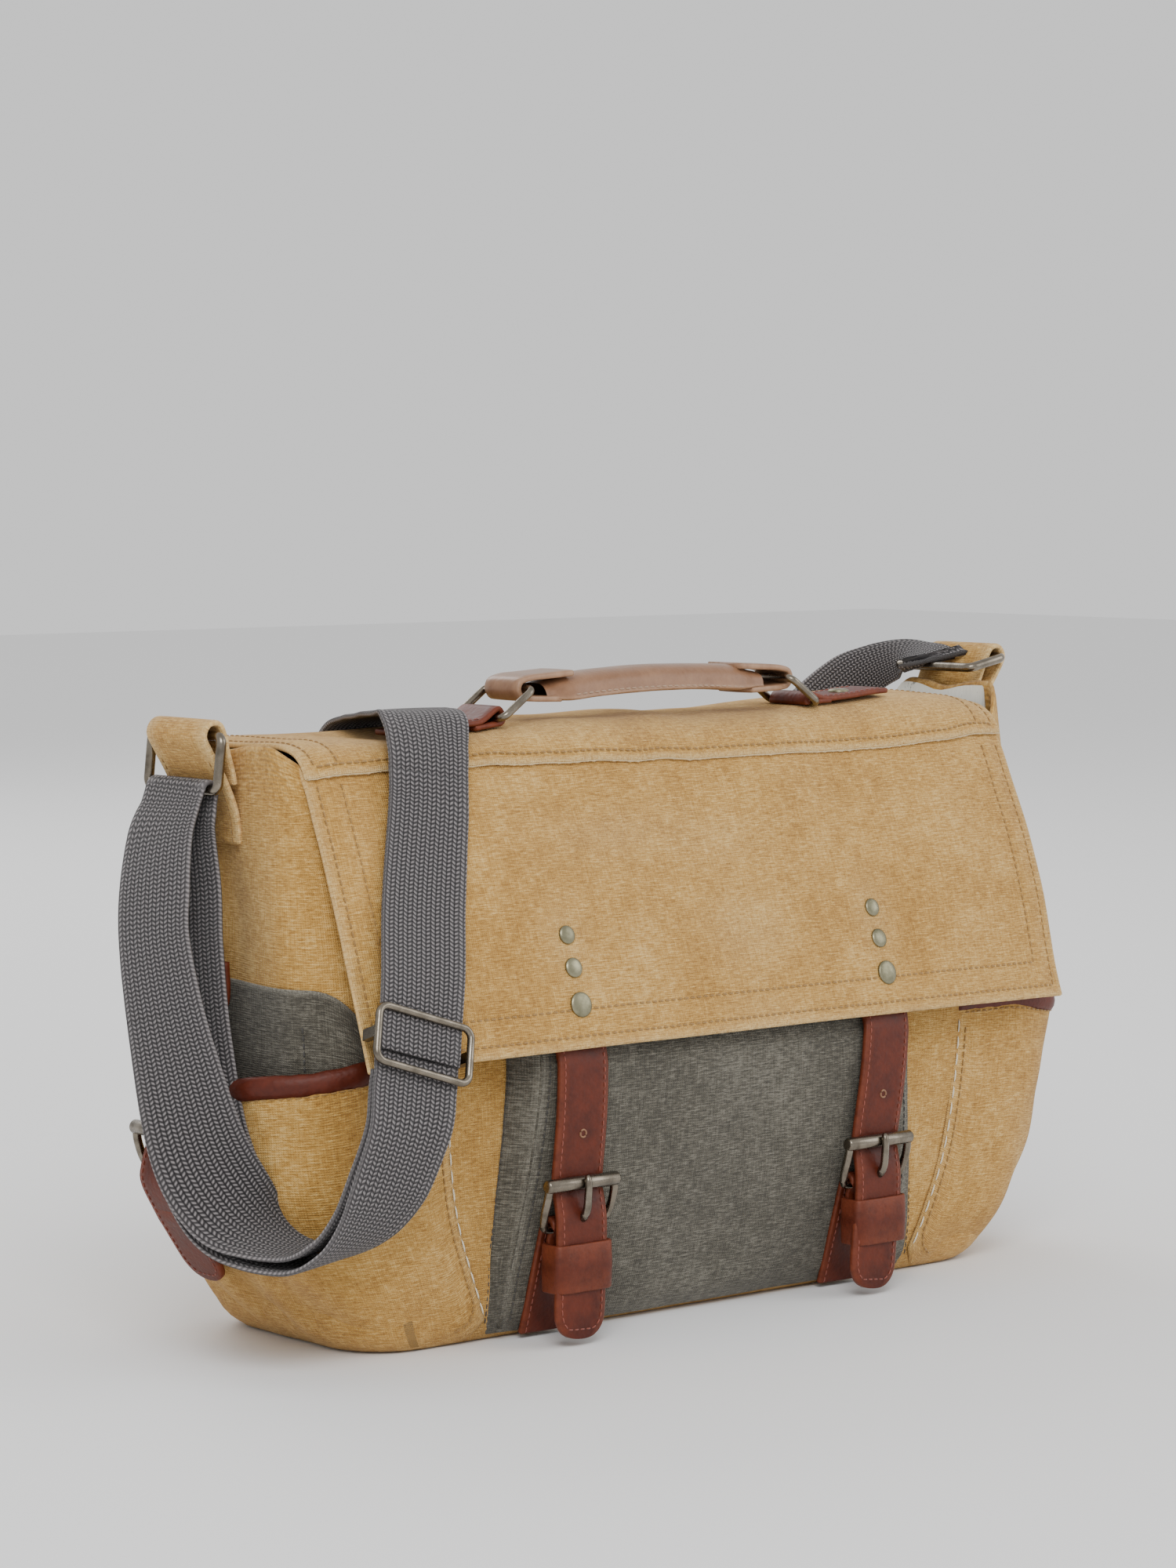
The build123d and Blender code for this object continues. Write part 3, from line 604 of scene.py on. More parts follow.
def body_surface(t, z, grow=0.0):
    values = body_at(z)
    p, n = ring_point(values, t, grow)
    a = abs(t)
    q = (p.x, p.y * 1.4, z * 0.7)
    push = crumple(q, 75, 3.2, 1.3) + crumple(q, 28, 1.1, 4.1)
    push *= smooth(0, 30, z) * (1 - smooth(205, 226, z) * 0.7)
    gusset = smooth(170, 200, a) * (1 - smooth(262, 290, a))
    push -= gusset * 4.0 * bump(a, 232, 16) * smooth(90, 170, z) * (1 - 0.8 * smooth(175, 210, z))
    push += 2.0 * sin(z / 17 + t / 23) * gusset * smooth(110, 150, z) * 0.5
    if t > 0:
        flare = gusset * smooth(195, 250, z) * 5
        push += flare
    return (p.x + n.x * push, p.y + n.y * push, z)


def body_ts():
    front = list(np.linspace(-160, 160, 65))
    right = list(np.linspace(164, 200, 10)) + list(np.linspace(206, 260, 10)) + list(np.linspace(264, 300, 10))
    back = list(np.linspace(306, 460, 30))
    left_back = [-v for v in reversed(list(np.linspace(306, 454, 29)))]
    left = [-v for v in reversed(right)]
    return front + right + back + left_back + left


BASE_Z = 2.5        # inner side of the bottom cloth, whose thickness reaches the floor
LINING_IN = -3.3    # the lining's place inside the bag's surface


def make_body():
    ts = body_ts()
    levels = [0.0, 1.2, 4, 9, 16, 24] + list(np.linspace(34, 216, 27))
    rows = []
    for shrink in (0.25, 0.7, 0.93):
        row = []
        for t in ts:
            p, _ = ring_point(body_at(0), t)
            row.append((p.x * shrink, p.y * shrink + (1 - shrink) * -2, BASE_Z + 0.3 * (1 - shrink)))
        rows.append(row)
    for z in levels:
        row = []
        for t in ts:
            x, y, _ = body_surface(t, z)
            tuck = 3.0 * (1 - smooth(0, 9, z)) ** 2
            scale = 1 - tuck / 180
            row.append((x * scale, y * scale, max(z, BASE_Z)))
        rows.append(row)
    for k in (0.35, 0.7, 1.0):
        rows.append([body_surface(t, 216 + (rim_height(t) - 216) * k) for t in ts])
    obj = grid("bag_shell", rows, close=True)
    thicken(obj, 2.4)
    finish_piece(obj, TAN, "tan_canvas", "front_panel", "back_panel", "gusset_left", "gusset_right", "base_panel",
                 body="bag")

    inside = [[body_surface(t, z, LINING_IN) for t in ts] for z in np.linspace(5, 216, 24)]
    inside.append([body_surface(t, rim_height(t) - 2.5, -3.0) for t in ts])
    lining = grid("lining_cloth", inside, close=True)
    finish_piece(lining, PRINT, "lining_cloth", "lining", body="bag")
    rows = []
    for shrink in (0.02, 0.4, 0.75, 0.97):
        edge = [body_surface(t, 6, LINING_IN) for t in ts]
        rows.append([(x * shrink, y * shrink, 6.4) for x, y, _ in edge])
    floor = grid("lining_floor", rows, close=True)
    finish_piece(floor, PRINT, "lining_cloth", body="bag")


make_camera()
make_body()


# ---- flap ------------------------------------------------------------------------------
FLAP_LINE = spline([(0, y, z) for y, z in FLAP], 400)
FLAP_S = lengths(FLAP_LINE)
FLAP_LEN = float(FLAP_S[-1])


def flap_s_at(z):
    """Distance from the back seam, along the flap, to height z on its front."""
    front = FLAP_LINE[:, 1] < -30
    return float(np.interp(-z, -FLAP_LINE[front, 2], FLAP_S[front]))


SEAM_S = flap_s_at(225.5)
# How far the top of the flap stands above or below its line, across the bag.
TOP_SAG = spline([(-190, -1, 0), (-156, -2, 0), (-122, -4.2, 0), (-84, -0.8, 0), (-40, 1, 0), (0, 2, 0), (20, 0.2, 0),
                  (45, 0.4, 0), (65, 1.2, 0), (90, 3.4, 0), (135, 4.6, 0), (183, 2.4, 0), (190, 2, 0)], 120).T
STITCH_ROWS = (5.0, 15.5)       # in from the flap's edges
LAP = 1.1                       # rise of the yoke where it laps over the panel


def flap_line_at(s):
    return (float(np.interp(s, FLAP_S, FLAP_LINE[:, k])) for k in (1, 2))


def flap_surface(x, s, lift=0.0):
    """The flap's outer face. x is across the bag and s runs from the back seam to the bottom edge."""
    c = min(max(s, 0.0), FLAP_LEN)
    y, z = flap_line_at(c)
    y1, z1 = flap_line_at(min(c + 1, FLAP_LEN))
    y0, z0 = flap_line_at(max(c - 1, 0))
    d = Vector((0, y1 - y0, z1 - z0)).normalized()
    n = Vector((0, d.z, -d.y))
    over = smooth(24, 48, s) * (1 - smooth(88, 110, s))
    push = over * float(np.interp(x, TOP_SAG[0], TOP_SAG[1]))
    front = smooth(113, 168, s)
    push += front * (2.2 * cos(x / FLAP_HALF * pi / 2) + 1.2 * sin(x / 47 + 0.6) * sin(s / 31))
    push += crumple((x, s * 1.2, 3), 60, 1.8, 2.2) * smooth(0, 20, s) + crumple((x, s, 9), 21, 0.5, 7.0)
    side, low = FLAP_HALF - abs(x), FLAP_LEN - s
    push -= smooth(14, 0, side) * 1.6
    for row in STITCH_ROWS:
        if low > row - 2:
            push -= 0.45 * bump(side, row, 1.0)
        if side > row - 2:
            push -= 0.45 * bump(low, row, 1.0)
    push += lift
    return (x + n.x * push, y + n.y * push, z + n.z * push)


def flap_wear(x, s):
    side = FLAP_HALF - abs(x)
    low = FLAP_LEN - s
    value = 0.55 * exp(-side / 1.8) + 0.6 * exp(-low / 1.8)
    value += 0.18 * bump(s, 94, 9)
    value += 0.22 * bump(x, 12, 20) * smooth(128, 158, s) * (0.6 + 0.4 * sin(s / 7))
    value += 0.2 * bump(x, -45, 30) * bump(s, 143, 9) + 0.25 * bump(abs(x), 84, 9) * bump(s, 186, 16)
    return min(value, 1.0)


def seam_wave(x):
    return SEAM_S + 1.2 * sin(x / 61 + 0.5) - 2.5 * smooth(120, 185, x) + crumple((x, 0, 0), 18, 0.9, 3.0)


def make_flap():
    rim = [0, 1.5, 3.6, 5, 6.4, 10, 14.1, 15.5, 16.9]
    xs = [-FLAP_HALF + d for d in rim] + list(np.linspace(-FLAP_HALF + 20.5, FLAP_HALF - 20.5, 72))
    xs += [FLAP_HALF - d for d in reversed(rim)]
    steps = np.linspace(0, 1, 34)
    reach = [seam_wave(x) + 1.5 for x in xs]
    rows = [[flap_surface(x, end * k, LAP * smooth(0.7, 0.95, k)) for x, end in zip(xs, reach)] for k in steps]
    wear = [[min(flap_wear(x, end * k) + 0.9 * smooth(0.985, 1.0, k), 1) for x, end in zip(xs, reach)]
            for k in steps]
    yoke = grid("flap_yoke", rows, wear=wear)
    thicken(yoke, 2.2)
    finish_piece(yoke, TAN, "tan_canvas", "flap_top", blend=BACK_SEAM)

    low = list(np.linspace(SEAM_S - 7, FLAP_LEN - 20.5, 30)) + [FLAP_LEN - d for d in reversed(rim)]
    rows = [[flap_surface(x, s, -1.2 * (1 - smooth(SEAM_S - 2, SEAM_S + 5, s))) for x in xs] for s in low]
    wear = [[flap_wear(x, s) for x in xs] for s in low]
    panel = grid("flap_panel", rows, wear=wear)
    thicken(panel, 2.4)
    finish_piece(panel, TAN, "tan_canvas", "flap_front", blend=FLAP_FOLD)

    seams = Threads()
    seams.on(flap_surface_lapped, [(x, seam_wave(x) - 3.2) for x in np.linspace(-184, 184, 60)], -1)
    for inset in STITCH_ROWS:
        for side in (-1, 1):
            x = side * (FLAP_HALF - inset)
            seams.on(flap_surface_lapped, [(x, 30), (x, seam_wave(x) - 4)], -1)
    seams.finish("flap_yoke_stitches", PALE_THREAD, "tan_canvas", blend=BACK_SEAM)

    seams = Threads()
    for inset in STITCH_ROWS:
        edge = FLAP_HALF - inset
        line = [(-edge, SEAM_S + 3), (-edge, FLAP_LEN - inset), (edge, FLAP_LEN - inset), (edge, SEAM_S + 3)]
        seams.on(flap_surface, line, -1)
    seams.finish("flap_panel_stitches", PALE_THREAD, "tan_canvas", blend=FLAP_FOLD)
    make_raw_edge()


def flap_surface_lapped(x, s):
    return flap_surface(x, s, LAP * smooth(SEAM_S * 0.7, SEAM_S * 0.95, s))


def make_raw_edge():
    """The yoke's pale frayed edge: a thin uneven fringe along the seam."""
    verts, faces = [], []
    xs = np.linspace(-FLAP_HALF + 1, FLAP_HALF - 1, 420)
    for i, x in enumerate(xs):
        s = seam_wave(x) + 1.2
        ragged = 0.25 + 0.7 * abs(noise.noise(Vector((x * 0.9, 2.0, 5.0))))
        for ds, lift in ((-0.1, 1.12), (ragged * 0.5, 1.0), (ragged, 0.5), (-0.1, 0.2)):
            verts.append(flap_surface(x, s + ds, lift))
        if i:
            band(faces, 4 * (i - 1), 4 * i, 4)
    obj = new_object("flap_raw_edge", verts, faces, [(v[0], v[2]) for v in verts], [1.0] * len(verts))
    finish_piece(obj, thread("raw_edge", (0.66, 0.50, 0.26)), "tan_canvas", body="flap_top")


make_flap()


# ---- front pocket ----------------------------------------------------------------------
FACE_LINE = spline([(0, y, z) for y, z in POCKET_FACE], 200)


def face_y(z):
    return float(np.interp(z, FACE_LINE[:, 2], FACE_LINE[:, 1]))


WALL_OUT = 8.0      # how far the pocket's walls spread at the bag


def pocket_surface(t, z):
    """The box pocket. t is x on the face; beyond +-107 it runs back along the side walls."""
    half = POCKET_HALF - 8 * smooth(15, 115, z)
    front = face_y(z)
    base = body_at(z)[1] - 0.6
    a = abs(t)
    sign = 1 if t >= 0 else -1
    if a <= POCKET_HALF:
        x = half * a / POCKET_HALF
        corner = smooth(POCKET_HALF - 9, POCKET_HALF, a)
        swell = 2.2 * cos(a / POCKET_HALF * pi / 2) ** 0.5 * smooth(0, 30, z) * (1 - smooth(95, 125, z))
        crease = crumple((t, 0, z), 46, 1.6, 5.5) + crumple((t, 5, z), 17, 0.5, 1.5)
        pucker = 0.5 * sin(z / 3.1) * smooth(POCKET_HALF - 22, POCKET_HALF - 4, a)
        y = front - swell + (crease + pucker) * (1 - corner) + corner * 1.5
        return (sign * x, y, z)
    k = (a - POCKET_HALF) / 20
    x = half + WALL_OUT * k + 1.5 * sin(k * pi) + crumple((k * 9, sign * 7, z), 14, 1.2, 2.5) * sin(min(k, 1) * pi)
    y = front + 1.5 + (base - front - 1.5) * k
    return (sign * x, y, z)


def make_front_pocket():
    ts = [-127, -123, -119, -115, -111, -108.5] + list(np.linspace(-107, 107, 66)) + [108.5, 111, 115, 119, 123, 127]
    zs = [3, 4.5, 8] + list(np.linspace(13, POCKET_TOP - 3, 34)) + [POCKET_TOP - 1, POCKET_TOP]
    rows = []
    for z in zs:
        tuck = (1 - smooth(2, 9, z)) * 4.0
        row = []
        for t in ts:
            x, y, _ = pocket_surface(t, z)
            row.append((x * (1 - tuck / 160), min(y + tuck, body_at(z)[1] - 0.6), z))
        rows.append(row)
    wear = [[0.35 * bump(abs(t), 107, 2.5) + 0.15 * bump(z, 4, 3) for t in ts] for z in zs]
    obj = grid("front_pocket_cloth", rows, wear=wear)
    thicken(obj, 1.4)
    finish_piece(obj, GREY, "grey_canvas", "front_pocket_face", "front_pocket_gusset", body="bag")
    for side in (-1, 1):
        line = [Vector(pocket_surface(side * POCKET_HALF, z)) + Vector((side * 0.4, -0.3, 0))
                for z in np.linspace(5, POCKET_TOP - 1, 60)]
        piece = tube("front_pocket_seam_" + WORD[side], line, 1.0, 8, 0.15)
        finish_piece(piece, GREY, "grey_canvas", body="bag")
    seams = Threads()
    lines = [[(side * out, 8), (side * out, POCKET_TOP - 10)]
             for side in (-1, 1) for out in (POCKET_HALF - 3.2, POCKET_HALF + 17)]
    lines.append([(-100, POCKET_TOP - 9), (100, POCKET_TOP - 9)])
    for line in lines:
        seams.on(pocket_surface, line, 1, pitch=3.0, radius=0.3, lift=1.7)
    seams.finish("front_pocket_stitches", DARK_THREAD, "grey_canvas", body="bag")


def tube(name, points, radius, sides=8, uneven=0.0, flat=1.0, normals=None, cap=True):
    """A tube along a line of points, oval if flat is under 1 (thinner along the normal)."""
    pts = [Vector(p) for p in points]
    verts, faces, uvs = [], [], []
    s = lengths([tuple(p) for p in pts])
    for i, p in enumerate(pts):
        along = (pts[min(i + 1, len(pts) - 1)] - pts[max(i - 1, 0)]).normalized()
        hint = normals[i] if normals else (Vector((0, 0, 1)) if abs(along.z) < 0.8 else Vector((1, 0, 0)))
        side = along.cross(hint).normalized()
        up = side.cross(along)
        size = radius[i] if isinstance(radius, list) else radius
        r = size * (1 + uneven * noise.noise(p / 6.0))
        for k in range(sides):
            angle = 2 * pi * k / sides
            verts.append(p + side * (r * cos(angle)) + up * (r * flat * sin(angle)))
            uvs.append((2 * pi * r * k / sides, s[i]))
        if i:
            band(faces, sides * (i - 1), sides * i, sides)
    if cap:
        faces.append(tuple(range(sides - 1, -1, -1)))
        faces.append(tuple(len(verts) - sides + k for k in range(sides)))
    return new_object(name, verts, faces, uvs)


make_front_pocket()


# ---- side pockets ----------------------------------------------------------------------
def lip_height(a):
    """Height of a side pocket's edge: lowest at the middle of the side."""
    return 112 - 10 * bump(a, 226, 26) + 4 * smooth(180, 150, a)


def side_surface(t, z):
    p, n = ring_point(side_at(z), t)
    a = abs(t)
    flat_edge = 1 - smooth(128, 152, a)
    body = body_at(z)
    front = p.y if a > 200 else p.y + (body[1] - 2.2 - p.y) * flat_edge
    back_edge = smooth(305, 318, a)
    front = front + (body[2] + 2.2 - front) * back_edge
    q = (p.x * 0.9, p.y, z * 0.8)
    push = crumple(q, 44, 3.6, 6.2) + crumple(q, 17, 1.3, 0.7)
    push += (1 - smooth(10, 60, z)) * 2.2 * sin(t / 5.5 + z / 9) * smooth(160, 190, a) * (1 - smooth(270, 300, a))
    push *= smooth(132, 160, a) * (1 - smooth(300, 316, a)) * smooth(0, 14, z)
    return (p.x + n.x * push, front + n.y * push, z)


SIDE_FROM = 139 / (214 - 34) * 160      # ring coordinate of a side pocket's front edge
SIDE_LIFT = 2.1                         # its stitches lie on the cloth, this far off its surface


def side_ts(side):
    a = list(np.linspace(SIDE_FROM, 160, 7)) + list(np.linspace(165, 200, 12)) + list(np.linspace(205, 260, 16))
    a += list(np.linspace(264, 300, 12)) + list(np.linspace(305, 322, 5))
    return [side * v for v in a] if side > 0 else [side * v for v in reversed(a)]


def make_side_pocket(side):
    word = WORD[side]
    ts = side_ts(side)
    steps = np.linspace(0, 1, 30)
    rows, wear = [], []
    for k in steps:
        row = []
        for t in ts:
            top = lip_height(abs(t))
            corner = 1 - smooth(SIDE_FROM, SIDE_FROM + 22, abs(t))
            bottom = 1.4 + 9 * corner ** 3
            z = bottom + (top - bottom) * k
            x, y, _ = side_surface(t, z)
            tuck = 2.5 * (1 - smooth(0, 9, z)) ** 2
            row.append((x * (1 - tuck / 190), y * (1 - tuck / 60), z))
        rows.append(row)
        wear.append([0.3 * bump(abs(t), SIDE_FROM, 2.0) + 0.25 * bump(k, 0.02, 0.02) for t in ts])
    obj = grid("side_pocket_cloth_" + word, rows, wear=wear)
    thicken(obj, 1.8)
    finish_piece(obj, TAN, "tan_canvas", "side_pocket_" + word, body="bag")

    line = [Vector(side_surface(side * t, lip_height(t))) + Vector((0, 0, -2.2))
            for t in np.linspace(SIDE_FROM + 1, 318, 90)]
    roll = tube("side_binding_roll_" + word, line, 4.6, 12, 0.12, 0.62, outward_normals(line, side))
    finish_piece(roll, LEATHER, "brown_leather", "side_binding_" + word, body="bag")

    seams = Threads()
    edge = side * (SIDE_FROM + 5)
    seams.on(side_surface, [(edge, 17), (edge, 104)], 1, lift=SIDE_LIFT)
    seams.on(side_surface, [(edge, 17), (side * (SIDE_FROM + 9), 11), (side * (SIDE_FROM + 18), 7)], 1,
             lift=SIDE_LIFT)
    seams.on(side_surface, [(side * t, lip_height(t) - 6.2) for t in np.linspace(SIDE_FROM + 4, 316, 60)], 1,
             radius=0.3, lift=SIDE_LIFT)
    seams.finish("side_pocket_stitches_" + word, PALE_THREAD, "tan_canvas", body="bag")
    tacking = Threads()
    tacking.on(side_surface, [(side * (SIDE_FROM + 1.6), 12), (side * (SIDE_FROM + 1.2), 108)], 1, pitch=7.0,
               radius=0.4, lift=SIDE_LIFT)
    tacking.finish("side_pocket_tacking_" + word, CREAM_THREAD, "tan_canvas", body="bag")


def outward_normals(line, side):
    out = []
    for i, p in enumerate(line):
        along = (line[min(i + 1, len(line) - 1)] - line[max(i - 1, 0)]).normalized()
        out.append(along.cross(Vector((0, 0, 1))).normalized() * side)
    return out


def facing_surface(t, z):
    a = abs(t)
    x, y, _ = body_surface(t, z, 1.9 + 0.8 * smooth(104, 118, z))
    dart = 0.9 * bump(a, 186, 2.2) * (1 - smooth(122, 136, z))
    _, n = ring_point(body_at(z), t)
    return (x - n.x * dart, y - n.y * dart, z)


def facing_top(a):
    """Upper edge of the facing: level along the side and rounded off at its front and back ends."""
    front = max(0.0, (186 - a) / 24)
    back = max(0.0, (a - 276) / 20)
    return 145 - 22 * front ** 2.4 - 26 * back ** 2


def make_facing(side):
    """Grey panel on the gusset behind the pocket's mouth, with rounded upper corners and a dart."""
    word = WORD[side]
    ts = [side * v for v in np.linspace(160, 296, 80)]
    if side < 0:
        ts = ts[::-1]
    rows = [[facing_surface(t, 103 + (facing_top(abs(t)) - 103) * k) for t in ts] for k in np.linspace(0, 1, 16)]
    wear = [[0.6 * smooth(0.97, 1.0, k) for t in ts] for k in np.linspace(0, 1, 16)]
    obj = grid("side_facing_cloth_" + word, rows, wear=wear)
    thicken(obj, 1.0)
    finish_piece(obj, GREY, "grey_canvas", "side_facings" if side > 0 else None, body="bag")
    seams = Threads()
    seams.on(facing_surface, [(side * 188.6, 104), (side * 188, 131)], 1, pitch=3.0, radius=0.34, lift=1.3)
    seams.finish("side_facing_stitches_" + word, DARK_THREAD, "grey_canvas", body="bag")


for side in (-1, 1):
    make_side_pocket(side)
    make_facing(side)


# ---- leather straps --------------------------------------------------------------------
def tip_scale(left, half):
    """Width of a rounded strap end, as a share, at a distance left from its very end."""
    return max(1 - max(1 - left / half, 0.0) ** 2.5, 0.0) ** 0.4


def frame_at(table, i):
    """A strap's unit vector in columns 3 to 5 of its table at row i, made square to it, and the one beside it."""
    along = Vector(table[min(i + 1, len(table) - 1), :3] - table[max(i - 1, 0), :3]).normalized()
    first = Vector(table[i, 3:6])
    first = (first - along * first.dot(along)).normalized()
    return first, along.cross(first)


def strap_mesh(name, verts, sides, uvs, wears):
    """Joins a strap's rings of vertices, one after the other, and closes its ends."""
    faces = []
    for p in range(0, len(verts) - sides, sides):
        for k in range(sides):
            j = (k + 1) % sides
            faces.append((p + k, p + sides + k, p + sides + j, p + j))
    faces.append(tuple(range(sides)))
    faces.append(tuple(len(verts) - 1 - k for k in range(sides)))
    return new_object(name, verts, faces, uvs, wears)


def strap(name, stations, width, thick, round_tip=False, crown=0.5, count=90, wear=0.55):
    """A flat strap swept along (point, outward normal) stations, with a crowned face and rounded edges."""
    table = spline([(*p, *n) for p, n in stations], count)
    s = lengths(table)
    total = s[-1]
    half = width / 2
    if round_tip:
        rounding = total - half + half * np.sin(np.linspace(0, pi / 2, 20)) ** 0.8
        wanted = np.concatenate([s[s < total - half - 1], rounding])
        table = np.column_stack([np.interp(wanted, s, table[:, c]) for c in range(6)])
        s, count = wanted, len(wanted)
    profile = [(-1, 0.0), (-0.985, 0.35), (-0.93, 0.5), (-0.6, 0.5 + crown * 0.06), (0, 0.5 + crown * 0.1),
               (0.6, 0.5 + crown * 0.06), (0.93, 0.5), (0.985, 0.35), (1, 0.0), (0.985, -0.35), (0.93, -0.5),
               (0.4, -0.5), (-0.4, -0.5), (-0.93, -0.5), (-0.985, -0.35)]
    verts, uvs, wears = [], [], []
    for i in range(count):
        normal, across = frame_at(table, i)
        left = total - s[i]
        scale = 1.0
        if round_tip and left < half:
            scale = tip_scale(left, half) * 0.99 + 0.01
        for a, b in profile:
            verts.append(Vector(table[i, :3]) + across * (a * half * scale) + normal * (b * thick))
            uvs.append((a * half * scale, s[i]))
            wears.append(wear * smooth(0.8, 1.0, abs(a)))
    return strap_mesh(name, verts, len(profile), uvs, wears)


def strap_stitches(threads, stations, width, thick, inset, round_tip=False):
    table = spline([(*p, *n) for p, n in stations], 90)
    s = lengths(table)
    half = width / 2 - inset
    lines = {-1: [], 1: []}
    normals = []
    for i in range(len(table)):
        normal, across = frame_at(table, i)
        left = s[-1] - s[i] - inset
        if left < 0:
            continue
        scale = 1.0
        if round_tip and left < half:
            scale = tip_scale(left, half)
        normals.append(normal)
        for side in (-1, 1):
            lines[side].append(Vector(table[i, :3]) + across * (side * half * scale) + normal * (thick / 2 + 0.12))
    if round_tip:
        threads.row(lines[-1] + lines[1][::-1], normals + normals[::-1], pitch=3.0, radius=0.3)
    else:
        for side in (-1, 1):
            threads.row(lines[side], normals, pitch=3.0, radius=0.3)


OUT = (0, -1, 0)
# (sideways shift, y, z) of the closing strap's middle; the shift is scaled for each strap
CLOSING = [(0, -59.4, 168), (0, -67.0, 146), (0, -77.4, 116), (0.1, -79.6, 104), (0.3, -80.2, 86), (0.5, -79.6, 68),
           (0.55, -79.8, 62), (0.6, -82.6, 51), (0.65, -83.2, 40), (0.85, -84.0, 22), (1.0, -84.6, 3)]
BASE_STRAP = [(0, -58.9, 2.4), (0, -62.6, 14), (0, -68.6, 34), (0, -73.5, 50)]
# How far each closing strap leans to the left at its tip.
LEAN = {"left": -7.0, "right": -14.0}
SIDE_STRAP = [(199.8, 152), (199.8, 137), (206, 128), (217.4, 116), (218.4, 104), (219.2, 91), (219.2, 85),
              (222.8, 73), (223, 66), (216.5, 54), (209.5, 43), (198.8, 27)]


def front_place(x0):
    """Local width, outwards and up to the bag's front, around x0."""
    return lambda w, out, up: Vector((x0 + w, -out, up))


def side_place(side):
    return lambda w, out, up: Vector((side * out, SIDE_Y + w, up))


def buckle(word, kind, place, bar, bodies):
    """Frame, roller and prong of a buckle whose prong bar stands at bar = (outwards, up)."""
    out0, up0 = bar
    half, wire = 16.4, 1.7
    outline = [(-half, 5.9, 18), (-half - 0.5, 5.2, 13), (-half - 0.4, 3.0, 6.5), (-half + 1.2, 0.8, 1.6),
               (-half + 4.5, 0, 0), (0, 0, 0), (half - 4.5, 0, 0), (half - 1.2, 0.8, 1.6), (half + 0.4, 3.0, 6.5),
               (half + 0.5, 5.2, 13), (half, 5.9, 18)]
    path = spline([place(w, out0 + o, up0 + u) for w, o, u in outline], 70)
    names = {"front": ("buckle_frame_", "buckle_roller_", "buckle_prong_"),
             "side": ("side_buckle_", "side_roller_", "side_prong_")}[kind]
    frame_obj = tube(names[0] + "wire_" + word, path, wire, 12)
    finish_piece(frame_obj, GUNMETAL, "gunmetal", names[0] + word, body=bodies[0])
    ends = (-half - 1.9, -half - 1.7, -half - 1.0, half + 1.0, half + 1.7, half + 1.9)
    roller = [place(w, out0 + 5.9, up0 + 18) for w in ends]
    radii = [1.6, 2.4, 2.8, 2.8, 2.4, 1.6]
    obj = tube(names[1] + "tube_" + word, roller, radii, 20)
    finish_piece(obj, GUNMETAL, "gunmetal", names[1] + word, body=bodies[1])
    prong = [(0.2, -1.6), (-1.2, 1.8), (1.6, 3.4), (6.4, 4.2), (8.9, 8.0), (9.6, 13), (9.9, 18), (9.0, 21.6)]
    path = spline([place(0, out0 + o, up0 + u) for o, u in prong], 40)
    radii = list(np.linspace(1.9, 1.5, 40))
    radii[-3:] = [1.4, 1.1, 0.6]
    obj = tube(names[2] + "wire_" + word, path, radii, 10)
    finish_piece(obj, GUNMETAL, "gunmetal", names[2] + word, body=bodies[2])


def keeper(name, node, place, centre, half, height, tilt, depth, body):
    """A wide leather loop round the strap: a rounded band, seamed at its back."""
    out0, up0 = centre
    ring = []
    for k in range(48):
        angle = 2 * pi * k / 48
        c, s = cos(angle), sin(angle)
        ring.append((half * abs(c) ** 0.35 * (1 if c > 0 else -1), depth * abs(s) ** 0.45 * (1 if s > 0 else -1)))
    rows = []
    layers = [(-1, -1.7), (-1, -0.2), (-0.94, 0.1), (0, 0.35), (0.94, 0.1), (1, -0.2), (1, -1.7), (-1, -1.7)]
    for h, grow in layers:
        row = []
        for w, o in ring:
            up = h * height / 2
            scale_w, scale_o = (half + grow) / half, (depth + grow) / depth
            row.append(place(w * scale_w, out0 + o * scale_o + up * tilt[0], up0 + up * tilt[1]))
        rows.append(row)
    obj = grid(name, rows, close=True, wear=[[0.5 if i in (1, 2, 4, 5) else 0.05] * 48 for i in range(8)])
    finish_piece(obj, LEATHER, "brown_leather", node, body=body)


def eyelet(name, place, at, body):
    """A punched hole in a strap: a rolled rim round a flat dark disc, painted shade that stands in for the hole's
    depth.
    """
    out0, up0 = at
    points = [place(1.5 * cos(k * pi / 8), out0, up0 + 1.5 * sin(k * pi / 8)) for k in range(17)]
    rim = tube(name + "_rim", points, 0.42, cap=False)
    finish_piece(rim, TAUPE, "brown_leather", body=body)
    # painted shade: a flat disc in the dark thread colour on the strap's face, standing in for the shadowed hole
    disc = [place(0, out0 - 0.1, up0)] + [place(1.45 * cos(k * pi / 8), out0 - 0.1, up0 + 1.45 * sin(k * pi / 8))
                                          for k in range(16)]
    obj = new_object(name + "_hole_shade", disc, [(0, 1 + k, 1 + (k + 1) % 16) for k in range(16)],
                     [(v[0], v[2]) for v in disc])
    finish_piece(obj, DARK_THREAD, "brown_leather", body=body)


def leather_strap(name, node, stations, width, thick, body, round_tip=False, stitched=True):
    obj = strap(name, stations, width, thick, round_tip)
    finish_piece(obj, LEATHER, "brown_leather", node, body=body)
    if stitched:
        threads = Threads()
        strap_stitches(threads, stations, width, thick, 2.4, round_tip)
        threads.finish(name + "_stitches", RED_THREAD, "brown_leather", body=body)


